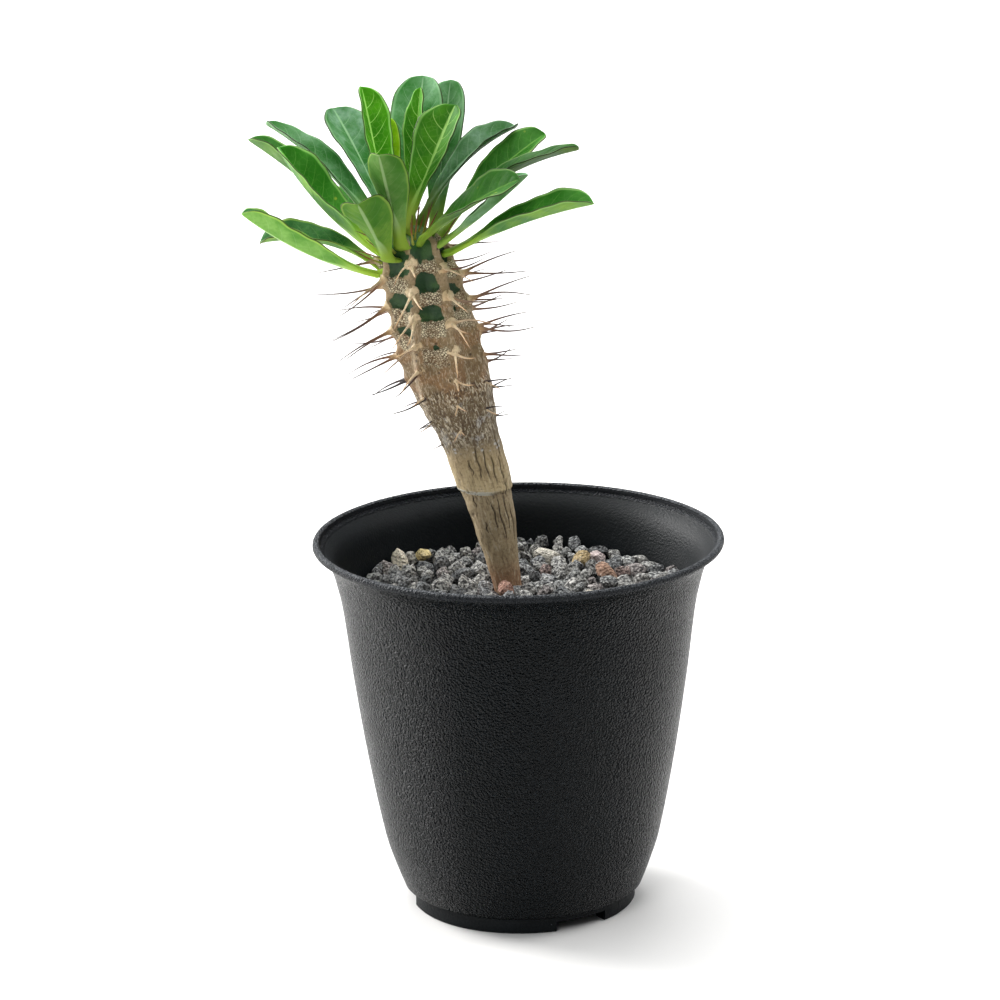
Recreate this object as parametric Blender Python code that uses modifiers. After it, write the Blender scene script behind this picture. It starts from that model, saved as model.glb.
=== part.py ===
"""A young club-stemmed euphorbia in a round plastic nursery pot. Metres, +Z up.

The pot's foot stands on Z = 0. The plant leans to the left, so the pot's axis stands POT_X to
the right of the origin, which is under the middle of the whole object.
"""

import bisect
import math
import random
from typing import NamedTuple

import bmesh
import bpy
from mathutils import Matrix, Vector
from mathutils.bvhtree import BVHTree

OBJECT_NAME = "potted_euphorbia"
POT_X = 0.0053
GAP = 0.0003
MERGE = 0.00001

# Pot: (height, outer radius) up the wall, from above the foot to under the lip
POT_HEIGHT = 0.0693
WALL_LINE = (
    (0.0036, 0.0221),
    (0.0075, 0.0236),
    (0.0132, 0.0254),
    (0.0284, 0.0283),
    (0.0436, 0.0306),
    (0.0570, 0.0323),
    (0.0625, 0.0335),
    (0.0652, 0.0344),
    (0.0669, 0.0356),
    (0.0678, 0.0368),
)
WALL = 0.0012
LIP_RADIUS = 0.0375
LIP_WIDTH = 0.0014
LIP_EDGE = 0.0003
FLOOR_TOP = 0.0036
FLOOR_UNDERSIDE = 0.0024
FLOOR_CORNER = 0.0006
INSIDE_LEVELS = (0.0132, 0.0360, 0.0560, 0.0620, 0.0652, 0.0678)
FOOT_RADIUS = 0.0207
FOOT_TOP = 0.0027
FOOT_INNER_RADIUS = 0.0176
FOOT_NOTCHES = (31, 151, 271)
FOOT_NOTCH_WIDTH = 0.0104
FOOT_NOTCH_HEIGHT = 0.0020
DRAIN_RADIUS = 0.0045
SMALL_DRAIN_RADIUS = 0.0022
SMALL_DRAIN_RING = 0.0120
SMALL_DRAINS = 6
DRAIN_SEGMENTS = 10
POT_SEGMENTS = 42

# Soil and gravel
SOIL_TOP = 0.0540
BED_TOP = 0.0588
FILL_SEGMENTS = 21
STONES = 132
STONE_RADIUS = (0.0021, 0.0027)
STONE_HEIGHT = 0.0584
STONE_SIDES = 5
STONE_TAPER = (0.35, 0.65)
STONE_LEAN = math.radians(28)
STONE_SPREAD = 0.0283
STONE_SEED = 5
GOLDEN_ANGLE = math.radians(137.508)

# Stem: its centre line and radius at heights above the pot's foot, before its domed top
STEM_FOOT = 0.0450
STEM_Y = 0.0020
STEM_LINE = (
    (0.0440, 0.0006),
    (0.0600, -0.0021),
    (0.0780, -0.0057),
    (0.0970, -0.0113),
    (0.1130, -0.0158),
    (0.1290, -0.0203),
)
STEM_GIRTH = (
    (0.0440, 0.0024),
    (0.0600, 0.0026),
    (0.0690, 0.0036),
    (0.0782, 0.0047),
    (0.0837, 0.0050),
    (0.0886, 0.0054),
    (0.0929, 0.0064),
    (0.0978, 0.0072),
    (0.1018, 0.0076),
    (0.1080, 0.0075),
    (0.1133, 0.0072),
    (0.1184, 0.0069),
    (0.1206, 0.0065),
)
DOME_HEIGHT = 0.1204
DOME_RADIUS = 0.0065
TIP_RADIUS = 0.0004
STEM_ROWS = 26
DOME_ROWS = 3
ROW_CROWDING = 1.5
HOLE_LEVELS = (0.0525, 0.0600, 0.0690)
STEM_CREASE = math.radians(50)

# Ribs: ridges that wind up the stem, with a knob at each group of spines
RIBS = 7
RIB_COLUMNS = 4
RIB_TWIST = math.radians(1.8) / 0.001
RIB_FRONT = math.radians(-94)
RIB_DEPTH = (
    (0.0880, 0.0),
    (0.0950, 0.0005),
    (0.1020, 0.0011),
    (0.1190, 0.0013),
    (0.1290, 0.0004),
)
KNOB_PITCH = 0.0047
KNOB_STAGGER = 3
KNOB_LENGTH = 0.0012
KNOB_HEIGHT = ((0.0880, 0.0), (0.0990, 0.0003), (0.1060, 0.0008), (0.1290, 0.0009))
LOWEST_KNOB = 0.0885
HIGHEST_KNOB = 0.1245

# Spines: length by the height of their knob
SPINE_LENGTH = (
    (0.0880, 0.0030),
    (0.0950, 0.0048),
    (0.1020, 0.0085),
    (0.1090, 0.0115),
    (0.1290, 0.0118),
)
SPINE_SIZES = (0.75, 1.1)
SPINE_SIDES = 3
SPINE_ROOT = 0.0004
SPINE_TIP = 0.00008
SPINE_SUNK = 0.0007
SPINE_SPREAD = math.radians(15)
SPINE_DROOP = math.radians(12)
SPINE_JITTER = math.radians(8)
THIRD_SPINES = 0.35
THIRD_SPINE_SIZE = 0.5
SPINE_SEED = 11
LEAF_CLEARANCE = 0.0006

# Leaves: every blade folds up along its midrib, more and more over the stalk. Their angles are
# in degrees, and parts of their length run from 0 at the seat to 1 at the tip.
LEAF_COLUMNS = 4
LEAF_ROWS = 7
MIDRIB_STEPS = 64
LEAF_CREASE = math.radians(60)
LEAF_GAP = 0.0006
STALK_HALF_WIDTH = 0.0010
TIP_HALF_WIDTH = 0.0004
BLADE_SWELL = 1.7
BLADE_CLOSE = 0.62
BLADE_WAVE = 0.00035
BLADE_WAVES = 2.3
RIB_THICKNESS = 0.0011
BLADE_THICKNESS = 0.00066
FOLD_PART = 0.4
STALK_PART = 0.3


class Leaf(NamedTuple):
    """One leaf: where it points and sits, how it rises and bends, and its blade.

    The smaller its swell, the nearer to its stalk the blade is widest.
    """

    azimuth: float
    seat: float
    ring: float
    rise: float
    droop: float
    length: float
    width: float
    fold: float
    roll: float
    swell: float = BLADE_SWELL


LEAVES = (
    # Low leaves on the left
    Leaf(196, 194, 0.0065, 28, -24, 0.0279, 0.0108, 36, 5, 1.5),
    Leaf(166, 153, 0.0065, 9, 49, 0.0237, 0.0088, 31, -17),
    Leaf(171, 166, 0.0056, 40.7, 18, 0.0305, 0.0086, 33, 4),
    Leaf(185, 202, 0.0054, 49, -28, 0.0264, 0.0112, 40, -35, 1.1),
    Leaf(150, 143, 0.0050, 38, 32, 0.0316, 0.0084, 30, 8, 1.3),
    # Leaves that face the front, seen from below
    Leaf(252, 260, 0.0050, 60, 0, 0.0212, 0.0088, 33, 0),
    Leaf(246, 234, 0.0060, 46, 0, 0.0172, 0.0106, 33, 24),
    # Upright leaves round the middle
    Leaf(131, 118, 0.0052, 52, 15, 0.0270, 0.0110, 24, 0, 2.5),
    Leaf(140, 178, 0.0022, 76, 0, 0.0262, 0.0088, 33, 0),
    Leaf(96, 128, 0.0030, 75, 0, 0.0200, 0.0044, 30, 0),
    Leaf(76.5, 92, 0.0049, 59.4, 4, 0.0297, 0.0108, 24, 0),
    Leaf(67, 74, 0.0029, 74, -6, 0.0245, 0.0056, 33, -30),
    Leaf(28, 281, 0.0022, 63.4, 0, 0.0238, 0.0122, 24, 12),
    Leaf(79, 50, 0.0062, 55.3, 4, 0.0311, 0.0085, 28, 0),
    # Leaves on the right
    Leaf(36, 32, 0.0034, 34, 46, 0.0268, 0.0086, 33, 0, 2.2),
    Leaf(25.5, 23, 0.0060, 37.5, 21, 0.0266, 0.0090, 30, 20, 1.9),
    Leaf(6, 349, 0.0048, 27, 38, 0.0302, 0.0074, 24, -4),
    Leaf(337, 303, 0.0050, 32, 12, 0.0224, 0.0110, 22, 34, 0.95),
    Leaf(349, 334, 0.0061, 39, -8, 0.0203, 0.0080, 30, 0),
    Leaf(354, 352, 0.0065, 19, 17, 0.0273, 0.0096, 39, 12, 1.45),
    # Leaves at the back
    Leaf(100, 108, 0.0064, 33, 20, 0.0270, 0.0092, 33, 0),
    Leaf(128, 132, 0.0065, 22, 25, 0.0245, 0.0092, 33, 0),
)


def smooth(line, place):
    """The value at a place on the smooth curve through a line of (place, value) pairs."""
    places = [point[0] for point in line]
    values = [point[1] for point in line]
    last = len(line) - 1

    def slope(index):
        before, after = max(index - 1, 0), min(index + 1, last)
        return (values[after] - values[before]) / (places[after] - places[before])

    start = min(max(bisect.bisect_right(places, place) - 1, 0), last - 1)
    span = places[start + 1] - places[start]
    part = min(max((place - places[start]) / span, 0.0), 1.0)
    rest = 1 - part
    return (
        rest * rest * (1 + 2 * part) * values[start]
        + part * part * (3 - 2 * part) * values[start + 1]
        + span * part * rest * (rest * slope(start) - part * slope(start + 1))
    )


def material(name, colour, roughness):
    """A plain Principled material."""
    made = bpy.data.materials.new(name)
    made.use_nodes = True
    shader = made.node_tree.nodes["Principled BSDF"]
    shader.inputs["Base Color"].default_value = (*colour, 1)
    shader.inputs["Roughness"].default_value = roughness
    made.diffuse_color = (*colour, 1)
    return made


def add_object(name, mesh, collection, parent, finish=None):
    """Puts a mesh in the scene as a named object under its parent."""
    made = bpy.data.objects.new(name, mesh)
    made.parent = parent
    if finish:
        mesh.materials.append(finish)
    collection.objects.link(made)
    return made


def mesh_of(name, bm, smooth_angle=None):
    """Turns a bmesh into a mesh, and shades it smooth up to an angle."""
    mesh = bpy.data.meshes.new(name)
    bm.to_mesh(mesh)
    bm.free()
    if smooth_angle:
        mesh.shade_smooth()
        mesh.set_sharp_from_angle(angle=smooth_angle)
    return mesh


def add_boolean(body, operation, collection=None, cutter=None):
    """A Boolean on a body, with one cutter or with all of a collection."""
    boolean = body.modifiers.new(operation.lower(), "BOOLEAN")
    boolean.operation = operation
    if collection:
        boolean.operand_type = "COLLECTION"
        boolean.collection = collection
    else:
        boolean.object = cutter


def settle(body):
    """Applies a body's modifiers."""
    graph = bpy.context.evaluated_depsgraph_get()
    mesh = bpy.data.meshes.new_from_object(body.evaluated_get(graph))
    body.modifiers.clear()
    body.data = mesh


def fuse(body, repeats):
    """Joins a collection of repeats to the body that they grow from, and removes the repeats."""
    add_boolean(body, "UNION", collection=repeats)
    settle(body)
    for obj in list(repeats.objects):
        bpy.data.objects.remove(obj)
    bpy.data.collections.remove(repeats)


def turned(name, outline, segments, collection, parent, finish, closed):
    """A solid turned round the pot's axis from an outline of (radius, height) pairs."""
    bm = bmesh.new()
    verts = [bm.verts.new((radius, 0, height)) for radius, height in outline]
    ends = zip(verts, verts[1:] + verts[:1]) if closed else zip(verts, verts[1:])
    for pair in ends:
        bm.edges.new(pair)
    made = add_object(name, mesh_of(name, bm), collection, parent, finish)
    screw = made.modifiers.new("turn", "SCREW")
    screw.steps = segments
    screw.render_steps = segments
    screw.use_merge_vertices = True
    screw.merge_threshold = MERGE
    screw.use_smooth_shade = True
    return made


def inner_radius(height):
    """The pot's inside radius at a height."""
    return smooth(WALL_LINE, height) - WALL


def pot_outline():
    """The pot's section: the lip, down the outside, under the foot, across the floor and back up."""
    lip_bottom = WALL_LINE[-1][0]
    return [
        (LIP_RADIUS - LIP_WIDTH, POT_HEIGHT),
        (LIP_RADIUS - LIP_EDGE, POT_HEIGHT),
        (LIP_RADIUS, POT_HEIGHT - LIP_EDGE),
        (LIP_RADIUS, lip_bottom),
        *[(radius, height) for height, radius in reversed(WALL_LINE[:-1])],
        (FOOT_RADIUS, FOOT_TOP),
        (FOOT_RADIUS, 0),
        (FOOT_INNER_RADIUS, 0),
        (FOOT_INNER_RADIUS, FLOOR_UNDERSIDE),
        (DRAIN_RADIUS, FLOOR_UNDERSIDE),
        (DRAIN_RADIUS, FLOOR_TOP),
        (inner_radius(FLOOR_TOP) - FLOOR_CORNER, FLOOR_TOP),
        *[(inner_radius(height), height) for height in INSIDE_LEVELS],
    ]


def build_pot(parts, cutters, axis, finish):
    """The pot, with its notched foot and its drain holes."""
    pot = turned("pot", pot_outline(), POT_SEGMENTS, parts, axis, finish, closed=True)
    bm = bmesh.new()
    for azimuth in FOOT_NOTCHES:
        turn = Matrix.Rotation(math.radians(azimuth - 90), 4, "Z")
        size = (2 * WALL + FOOT_RADIUS - FOOT_INNER_RADIUS, FOOT_NOTCH_WIDTH, 2 * FOOT_NOTCH_HEIGHT)
        middle = Matrix.Translation(((FOOT_RADIUS + FOOT_INNER_RADIUS) / 2, 0, 0))
        bmesh.ops.create_cube(bm, size=1, matrix=turn @ middle @ Matrix.Diagonal((*size, 1)))
    for index in range(SMALL_DRAINS):
        turn = Matrix.Rotation(math.tau * index / SMALL_DRAINS, 4, "Z")
        place = Matrix.Translation((SMALL_DRAIN_RING, 0, FLOOR_TOP))
        bmesh.ops.create_cone(
            bm,
            cap_ends=True,
            segments=DRAIN_SEGMENTS,
            radius1=SMALL_DRAIN_RADIUS,
            radius2=SMALL_DRAIN_RADIUS,
            depth=2 * FLOOR_TOP,
            matrix=turn @ place,
        )
    cutter = add_object("pot_cutter", mesh_of("pot_cutter", bm), cutters, axis)
    add_boolean(pot, "DIFFERENCE", cutter=cutter)


def build_fill(name, top, bottom, parts, axis, finish):
    """A filling that keeps a gap to the pot's wall and floor, between two heights."""
    levels = [height for height in reversed(INSIDE_LEVELS) if bottom < height < top]
    wall = [(inner_radius(height) - GAP, height) for height in (top, *levels)]
    toe = inner_radius(bottom) - GAP - (0 if bottom > INSIDE_LEVELS[0] else FLOOR_CORNER)
    outline = [(0, top), *wall, (toe, bottom), (0, bottom)]
    return turned(name, outline, FILL_SEGMENTS, parts, axis, finish, closed=False)


def stem_centre(height):
    """A point on the stem's centre line."""
    return Vector((smooth(STEM_LINE, height), STEM_Y, height))


def stem_frame(height):
    """The stem's own directions at a height: across to the right, away and up along the stem."""
    step = 0.001
    up = (stem_centre(height + step) - stem_centre(height - step)).normalized()
    away = Vector((0, 1, 0))
    return away.cross(up), away, up


def dome_frame():
    """The middle of the domed top, and the stem's directions there."""
    return stem_centre(DOME_HEIGHT), *stem_frame(DOME_HEIGHT)


def stem_girth(height):
    """The stem's radius at a height, round its domed top as well."""
    if height <= DOME_HEIGHT:
        return smooth(STEM_GIRTH, height)
    climb = (height - DOME_HEIGHT) / dome_frame()[3].z
    return math.sqrt(max(DOME_RADIUS**2 - climb**2, TIP_RADIUS**2))


def rib_angle(rib, height):
    """The angle round the stem of a rib's ridge at a height."""
    return RIB_FRONT + math.tau * rib / RIBS + RIB_TWIST * (height - DOME_HEIGHT)


def knob_heights(rib):
    """The heights of the knobs on a rib. Each rib's knobs sit a little higher than its neighbour's."""
    height = LOWEST_KNOB + KNOB_PITCH * ((rib * KNOB_STAGGER / RIBS) % 1)
    while height < HIGHEST_KNOB:
        yield height
        height += KNOB_PITCH


def rib_relief(rib, part, height):
    """How far a ridge and its knobs stand out, at a part of the way from one rib to the next."""
    ridge = (1 + math.cos(math.tau * part)) / 2
    near = rib if part < 0.5 else (rib + 1) % RIBS
    reach = sum(math.exp(-(((height - knob) / KNOB_LENGTH) ** 2)) for knob in knob_heights(near))
    groove = smooth(RIB_DEPTH, height) * (1 - ridge)
    return smooth(KNOB_HEIGHT, height) * reach * ridge**3 - groove


def stem_point(angle, height, radius):
    """A point at a radius from the stem's centre line."""
    right, away, _ = stem_frame(height)
    return stem_centre(height) + radius * (math.cos(angle) * right + math.sin(angle) * away)


def build_tube(name, heights, clearance):
    """The stem's skin through a ring at each height, closed at both ends."""
    columns = RIBS * RIB_COLUMNS
    rows = len(heights) - 1
    bm = bmesh.new()
    bmesh.ops.create_grid(bm, x_segments=columns, y_segments=rows, size=0.5)
    for vert in bm.verts:
        column = round((vert.co.x + 0.5) * columns)
        height = heights[round((vert.co.y + 0.5) * rows)]
        rib, step = divmod(column % columns, RIB_COLUMNS)
        part = step / RIB_COLUMNS
        relief = rib_relief(rib, part, height)
        radius = stem_girth(height) + clearance
        radius += relief * min(1, radius / DOME_RADIUS)
        vert.co = stem_point(rib_angle(rib + part, height), height, radius)
    bmesh.ops.remove_doubles(bm, verts=bm.verts, dist=MERGE)
    bmesh.ops.holes_fill(bm, edges=[edge for edge in bm.edges if edge.is_boundary], sides=columns)
    bmesh.ops.recalc_face_normals(bm, faces=bm.faces)
    return mesh_of(name, bm, smooth_angle=STEM_CREASE)


def stem_rows():
    """The heights of the rings that the stem's skin runs through."""
    rise = dome_frame()[3].z * math.sqrt(DOME_RADIUS**2 - TIP_RADIUS**2)
    body = [
        STEM_FOOT + (DOME_HEIGHT - STEM_FOOT) * (1 - (1 - row / STEM_ROWS) ** ROW_CROWDING)
        for row in range(STEM_ROWS)
    ]
    dome = [
        DOME_HEIGHT + rise * math.sin(math.pi / 2 * row / DOME_ROWS) for row in range(DOME_ROWS + 1)
    ]
    return body + dome


def spine_lines(leaf_skins):
    """The root and tip of every spine: two or three stand on each knob, clear of the leaves."""
    draw = random.Random(SPINE_SEED)
    for rib in range(RIBS):
        for height in knob_heights(rib):
            angle = rib_angle(rib, height)
            root = stem_point(angle, height, stem_girth(height) + smooth(KNOB_HEIGHT, height))
            outward = (root - stem_centre(height)).normalized()
            up = stem_frame(height)[2]
            side = up.cross(outward)
            turns = (-1, 1, 0) if draw.random() < THIRD_SPINES else (-1, 1)
            for turn in turns:
                swing = turn * SPINE_SPREAD + draw.uniform(-1, 1) * SPINE_JITTER
                dip = draw.uniform(-1, 1) * SPINE_JITTER - (SPINE_DROOP if turn < 1 else 0)
                way = outward + math.tan(swing) * side + math.tan(dip) * up
                length = smooth(SPINE_LENGTH, height) * draw.uniform(*SPINE_SIZES)
                length *= 1 if turn else THIRD_SPINE_SIZE
                tip = root + way.normalized() * length
                if clears(root, tip, leaf_skins):
                    yield root, tip


def clears(root, tip, skins):
    """Whether a spine keeps its distance from every leaf."""
    steps = 8
    for step in range(steps + 1):
        point = root.lerp(tip, step / steps)
        for skin in skins:
            if skin.find_nearest(point, LEAF_CLEARANCE + SPINE_ROOT)[0] is not None:
                return False
    return True


def build_stem(parts, axis, finish, leaf_skins):
    """The stem with its spines fused to it."""
    stem = add_object("stem", build_tube("stem", stem_rows(), 0), parts, axis, finish)
    spines = bpy.data.collections.new("spines")
    bpy.context.scene.collection.children.link(spines)
    for root, tip in spine_lines(leaf_skins):
        way = tip - root
        turn = way.to_track_quat("Z", "Y").to_matrix().to_4x4()
        sunk = root - way.normalized() * SPINE_SUNK
        bm = bmesh.new()
        bmesh.ops.create_cone(
            bm,
            cap_ends=True,
            segments=SPINE_SIDES,
            radius1=SPINE_ROOT,
            radius2=SPINE_TIP,
            depth=(tip - sunk).length,
            matrix=Matrix.Translation((sunk + tip) / 2) @ turn,
        )
        add_object("spine", mesh_of("spine", bm), spines, axis)
    fuse(stem, spines)


def build_gravel(parts, axis, finish, hole):
    """The bed of the gravel with its stones fused on, and a plain hole for the stem."""
    gravel = build_fill("gravel", BED_TOP, SOIL_TOP + GAP, parts, axis, finish)
    settle(gravel)
    stones = bpy.data.collections.new("stones")
    bpy.context.scene.collection.children.link(stones)
    draw = random.Random(STONE_SEED)
    for index in range(STONES):
        reach = STONE_SPREAD * math.sqrt((index + 0.5) / STONES)
        angle = index * GOLDEN_ANGLE
        size = draw.uniform(*STONE_RADIUS)
        place = Vector((reach * math.cos(angle), reach * math.sin(angle), STONE_HEIGHT))
        stem = stem_centre(STONE_HEIGHT)
        clear = stem_girth(STONE_HEIGHT) + GAP + size
        if (place - stem).length < clear:
            place = stem + clear * (place - stem).normalized()
        lean = Matrix.Rotation(draw.uniform(0, STONE_LEAN), 4, (draw.random(), draw.random(), 0))
        turn = Matrix.Rotation(draw.uniform(0, math.tau), 4, "Z")
        bm = bmesh.new()
        bmesh.ops.create_cone(
            bm,
            cap_ends=True,
            segments=STONE_SIDES,
            radius1=size,
            radius2=size * draw.uniform(*STONE_TAPER),
            depth=2 * size,
            matrix=Matrix.Translation(place) @ turn @ lean,
        )
        add_object("stone", mesh_of("stone", bm), stones, axis)
    fuse(gravel, stones)
    add_boolean(gravel, "DIFFERENCE", cutter=hole)


def leaf_half_width(leaf, along):
    """Half the width of a leaf at a part of its length: a stalk, a swelling blade and a blunt tip."""
    peak = leaf.swell / (leaf.swell + BLADE_CLOSE)
    swell = along**leaf.swell * (1 - along) ** BLADE_CLOSE
    fullest = peak**leaf.swell * (1 - peak) ** BLADE_CLOSE
    rim = STALK_HALF_WIDTH + (TIP_HALF_WIDTH - STALK_HALF_WIDTH) * along
    return rim + (leaf.width / 2 - rim) * swell / fullest


def leaf_spine(leaf):
    """The leaf's midrib: points from its seat on the dome to its tip, and the slope at each."""
    azimuth, seat = math.radians(leaf.azimuth), math.radians(leaf.seat)
    out = Vector((math.cos(azimuth), math.sin(azimuth), 0))
    middle, right, away, up = dome_frame()
    foot = leaf.ring * (math.cos(seat) * right + math.sin(seat) * away)
    foot += up * math.sqrt(max(DOME_RADIUS**2 - leaf.ring**2, 0))
    slopes = [
        math.radians(leaf.rise + leaf.droop * (0.5 - step / MIDRIB_STEPS))
        for step in range(MIDRIB_STEPS + 1)
    ]
    place = middle + foot + foot.normalized() * LEAF_GAP
    points = [place]
    for slope in slopes[:-1]:
        ahead = math.cos(slope) * out + math.sin(slope) * Vector((0, 0, 1))
        place = place + leaf.length / MIDRIB_STEPS * ahead
        points.append(place)
    return out, points, slopes


def leaf_thickness(across, along):
    """A leaf's thickness: most on its midrib and over its whole stalk, and least at its edge."""
    if along > STALK_PART:
        weight = (1 - abs(across)) * (1 - along)
    else:
        weight = 1 - abs(across) * along / STALK_PART
    return BLADE_THICKNESS + (RIB_THICKNESS - BLADE_THICKNESS) * weight


def leaf_blade(name, leaf):
    """A leaf's blade as a thin sheet, and the thickness that each of its points gets."""
    out, points, slopes = leaf_spine(leaf)
    level = Vector((0, 0, 1))
    side = level.cross(out)
    bm = bmesh.new()
    bmesh.ops.create_grid(bm, x_segments=LEAF_COLUMNS, y_segments=LEAF_ROWS, size=0.5)
    bm.verts.ensure_lookup_table()
    bmesh.ops.triangulate(bm, faces=bm.faces, quad_method="FIXED")
    thickness = []
    for vert in bm.verts:
        across = vert.co.x * 2
        along = 1 - (0.5 - vert.co.y) ** ROW_CROWDING
        step = round(along * (len(points) - 1))
        ahead = math.cos(slopes[step]) * out + math.sin(slopes[step]) * level
        above = ahead.cross(side)
        roll = math.radians(leaf.roll) * along
        beside = math.cos(roll) * side + math.sin(roll) * above
        above = math.cos(roll) * above - math.sin(roll) * side
        fold = math.radians(leaf.fold) * math.sin(math.pi / 2 * min(1, along / FOLD_PART))
        wave = BLADE_WAVE * math.sin(math.tau * BLADE_WAVES * along + leaf.azimuth) * across**2
        half = leaf_half_width(leaf, along)
        lift = half * abs(across) * math.sin(fold) + wave * along
        vert.co = points[step] + beside * half * across * math.cos(fold) + above * lift
        thickness.append(leaf_thickness(across, along))
    bmesh.ops.recalc_face_normals(bm, faces=bm.faces)
    return mesh_of(name, bm), thickness


def build_leaf(name, leaf, parts, axis, finish):
    """One leaf, thicker along its midrib and its stalk."""
    mesh, thickness = leaf_blade(name, leaf)
    made = add_object(name, mesh, parts, axis, finish)
    group = made.vertex_groups.new(name="thickness")
    for index, thick in enumerate(thickness):
        group.add([index], thick / RIB_THICKNESS, "REPLACE")
    solidify = made.modifiers.new("thickness", "SOLIDIFY")
    solidify.thickness = RIB_THICKNESS
    solidify.offset = 0
    solidify.vertex_group = group.name
    settle(made)
    made.data.shade_smooth()
    made.data.set_sharp_from_angle(angle=LEAF_CREASE)
    return made


def skin_of(obj):
    """A search tree over an object's mesh."""
    bm = bmesh.new()
    bm.from_mesh(obj.data)
    tree = BVHTree.FromBMesh(bm)
    bm.free()
    return tree


def main():
    """Builds the pot, what fills it and the plant."""
    for obj in list(bpy.data.objects):
        bpy.data.objects.remove(obj)
    scene = bpy.context.scene
    parts = bpy.data.collections.new(OBJECT_NAME)
    cutters = bpy.data.collections.new("cutters")
    for collection in (parts, cutters):
        scene.collection.children.link(collection)
    axis = bpy.data.objects.new("pot_axis", None)
    axis.location.x = POT_X
    parts.objects.link(axis)

    black = material("pot_plastic", (0.012, 0.013, 0.015), 0.5)
    earth = material("soil", (0.06, 0.04, 0.025), 0.95)
    lava = material("gravel_stone", (0.12, 0.12, 0.125), 0.9)
    bark = material("stem_bark", (0.42, 0.32, 0.2), 0.8)
    green = material("leaf_green", (0.1, 0.3, 0.06), 0.45)

    build_pot(parts, cutters, axis, black)
    hole_rows = [STEM_FOOT - GAP, *HOLE_LEVELS]
    hole = add_object("stem_hole", build_tube("stem_hole", hole_rows, GAP), cutters, axis)
    soil = build_fill("soil", SOIL_TOP, FLOOR_TOP + GAP, parts, axis, earth)
    add_boolean(soil, "DIFFERENCE", cutter=hole)
    build_gravel(parts, axis, lava, hole)

    skins = []
    for number, leaf in enumerate(LEAVES, start=1):
        skins.append(skin_of(build_leaf(f"leaf_{number:02d}", leaf, parts, axis, green)))
    build_stem(parts, axis, bark, skins)

    for cutter in cutters.objects:
        cutter.hide_render = True
        cutter.display_type = "WIRE"


if __name__ == "__main__":
    main()
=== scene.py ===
"""A potted euphorbia, dressed round its CAD frame. Metres, +Z up.

The plant's own sizes are measured from the pot's axis, which stands to the right of the origin by
AXIS. Angles in the tables are in degrees.
"""

import bisect
import logging
import math
import random
from collections.abc import Callable, Iterator
from dataclasses import dataclass
from enum import Enum
from functools import cache
from typing import Any

import bmesh
import bpy
from mathutils import Matrix, Vector, noise
from mathutils.bvhtree import BVHTree


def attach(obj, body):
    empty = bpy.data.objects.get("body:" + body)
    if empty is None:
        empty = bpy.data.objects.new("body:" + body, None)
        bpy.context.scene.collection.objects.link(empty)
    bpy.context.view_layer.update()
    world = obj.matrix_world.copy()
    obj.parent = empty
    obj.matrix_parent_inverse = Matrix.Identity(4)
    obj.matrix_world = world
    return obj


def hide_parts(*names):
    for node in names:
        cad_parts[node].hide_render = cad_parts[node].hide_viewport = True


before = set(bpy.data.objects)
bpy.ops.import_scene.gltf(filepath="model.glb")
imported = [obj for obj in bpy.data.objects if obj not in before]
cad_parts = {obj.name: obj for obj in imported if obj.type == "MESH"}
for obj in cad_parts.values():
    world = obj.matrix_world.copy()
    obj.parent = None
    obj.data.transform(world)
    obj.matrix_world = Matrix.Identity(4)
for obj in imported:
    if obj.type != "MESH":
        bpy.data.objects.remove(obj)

log = logging.getLogger("potted_euphorbia")

BMesh = bmesh.types.BMesh
Material = bpy.types.Material
Mesh = bpy.types.Mesh
Pair = tuple[float, float]
Point = tuple[float, float, float]
Patch = tuple[float, float, float, float]
Colour = tuple[float, float, float]
Stops = tuple[tuple[float, Colour], ...]
# From and to, as a step takes them
Span = tuple[float, float]
# Low, high, and how wide the soft shoulders are
Band = tuple[float, float, float]
# A layer of noise: its size, its seed and its height
Layer = tuple[float, float, float]

AXIS = Vector((0.0053, 0, 0))
UP = Vector((0, 0, 1))
MERGE = 0.000002
MM = 0.001


def paint(*channels: int) -> Colour:
    """The linear colour that a shader takes for a screen colour, 0 to 255 a channel."""
    parts = (channel / 255 for channel in channels)
    return tuple(part / 12.92 if part <= 0.04045 else ((part + 0.055) / 1.055) ** 2.4 for part in parts)


def smoothstep(low: float, high: float, value: float) -> float:
    """A soft step from 0 at low to 1 at high, also where low is over high."""
    part = min(max((value - low) / (high - low), 0.0), 1.0)
    return part * part * (3 - 2 * part)


def plateau(low: float, high: float, soft: float, value: float) -> float:
    """1 between low and high, with soft shoulders outside them."""
    return smoothstep(low - soft, low, value) * smoothstep(high + soft, high, value)


def stepped(first: float, last: float, steps: int) -> list[float]:
    """Numbers from the first to the last in equal steps."""
    return [first + (last - first) * step / steps for step in range(steps + 1)]


def arc(part: float) -> float:
    """The height of a circle of radius 1 over a place on its radius, 0 past its ends."""
    return math.sqrt(max(1 - part**2, 0.0))


def swing(turn: float, first: Vector, second: Vector) -> Vector:
    """The direction at a turn from the first of two directions towards the second."""
    return math.cos(turn) * first + math.sin(turn) * second


def grain(place: Vector, size: float, seed: float = 0.0) -> float:
    """Smooth noise from -1 to 1, whose bumps are about a size apart."""
    return noise.noise(place / size + Vector((seed, 2 * seed, 3 * seed)))


def lumps(place: Vector, layers: tuple[Layer, ...]) -> float:
    """Layers of noise added up, each with its size, its seed and its height."""
    return sum(height * grain(place, size, seed) for size, seed, height in layers)


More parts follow.
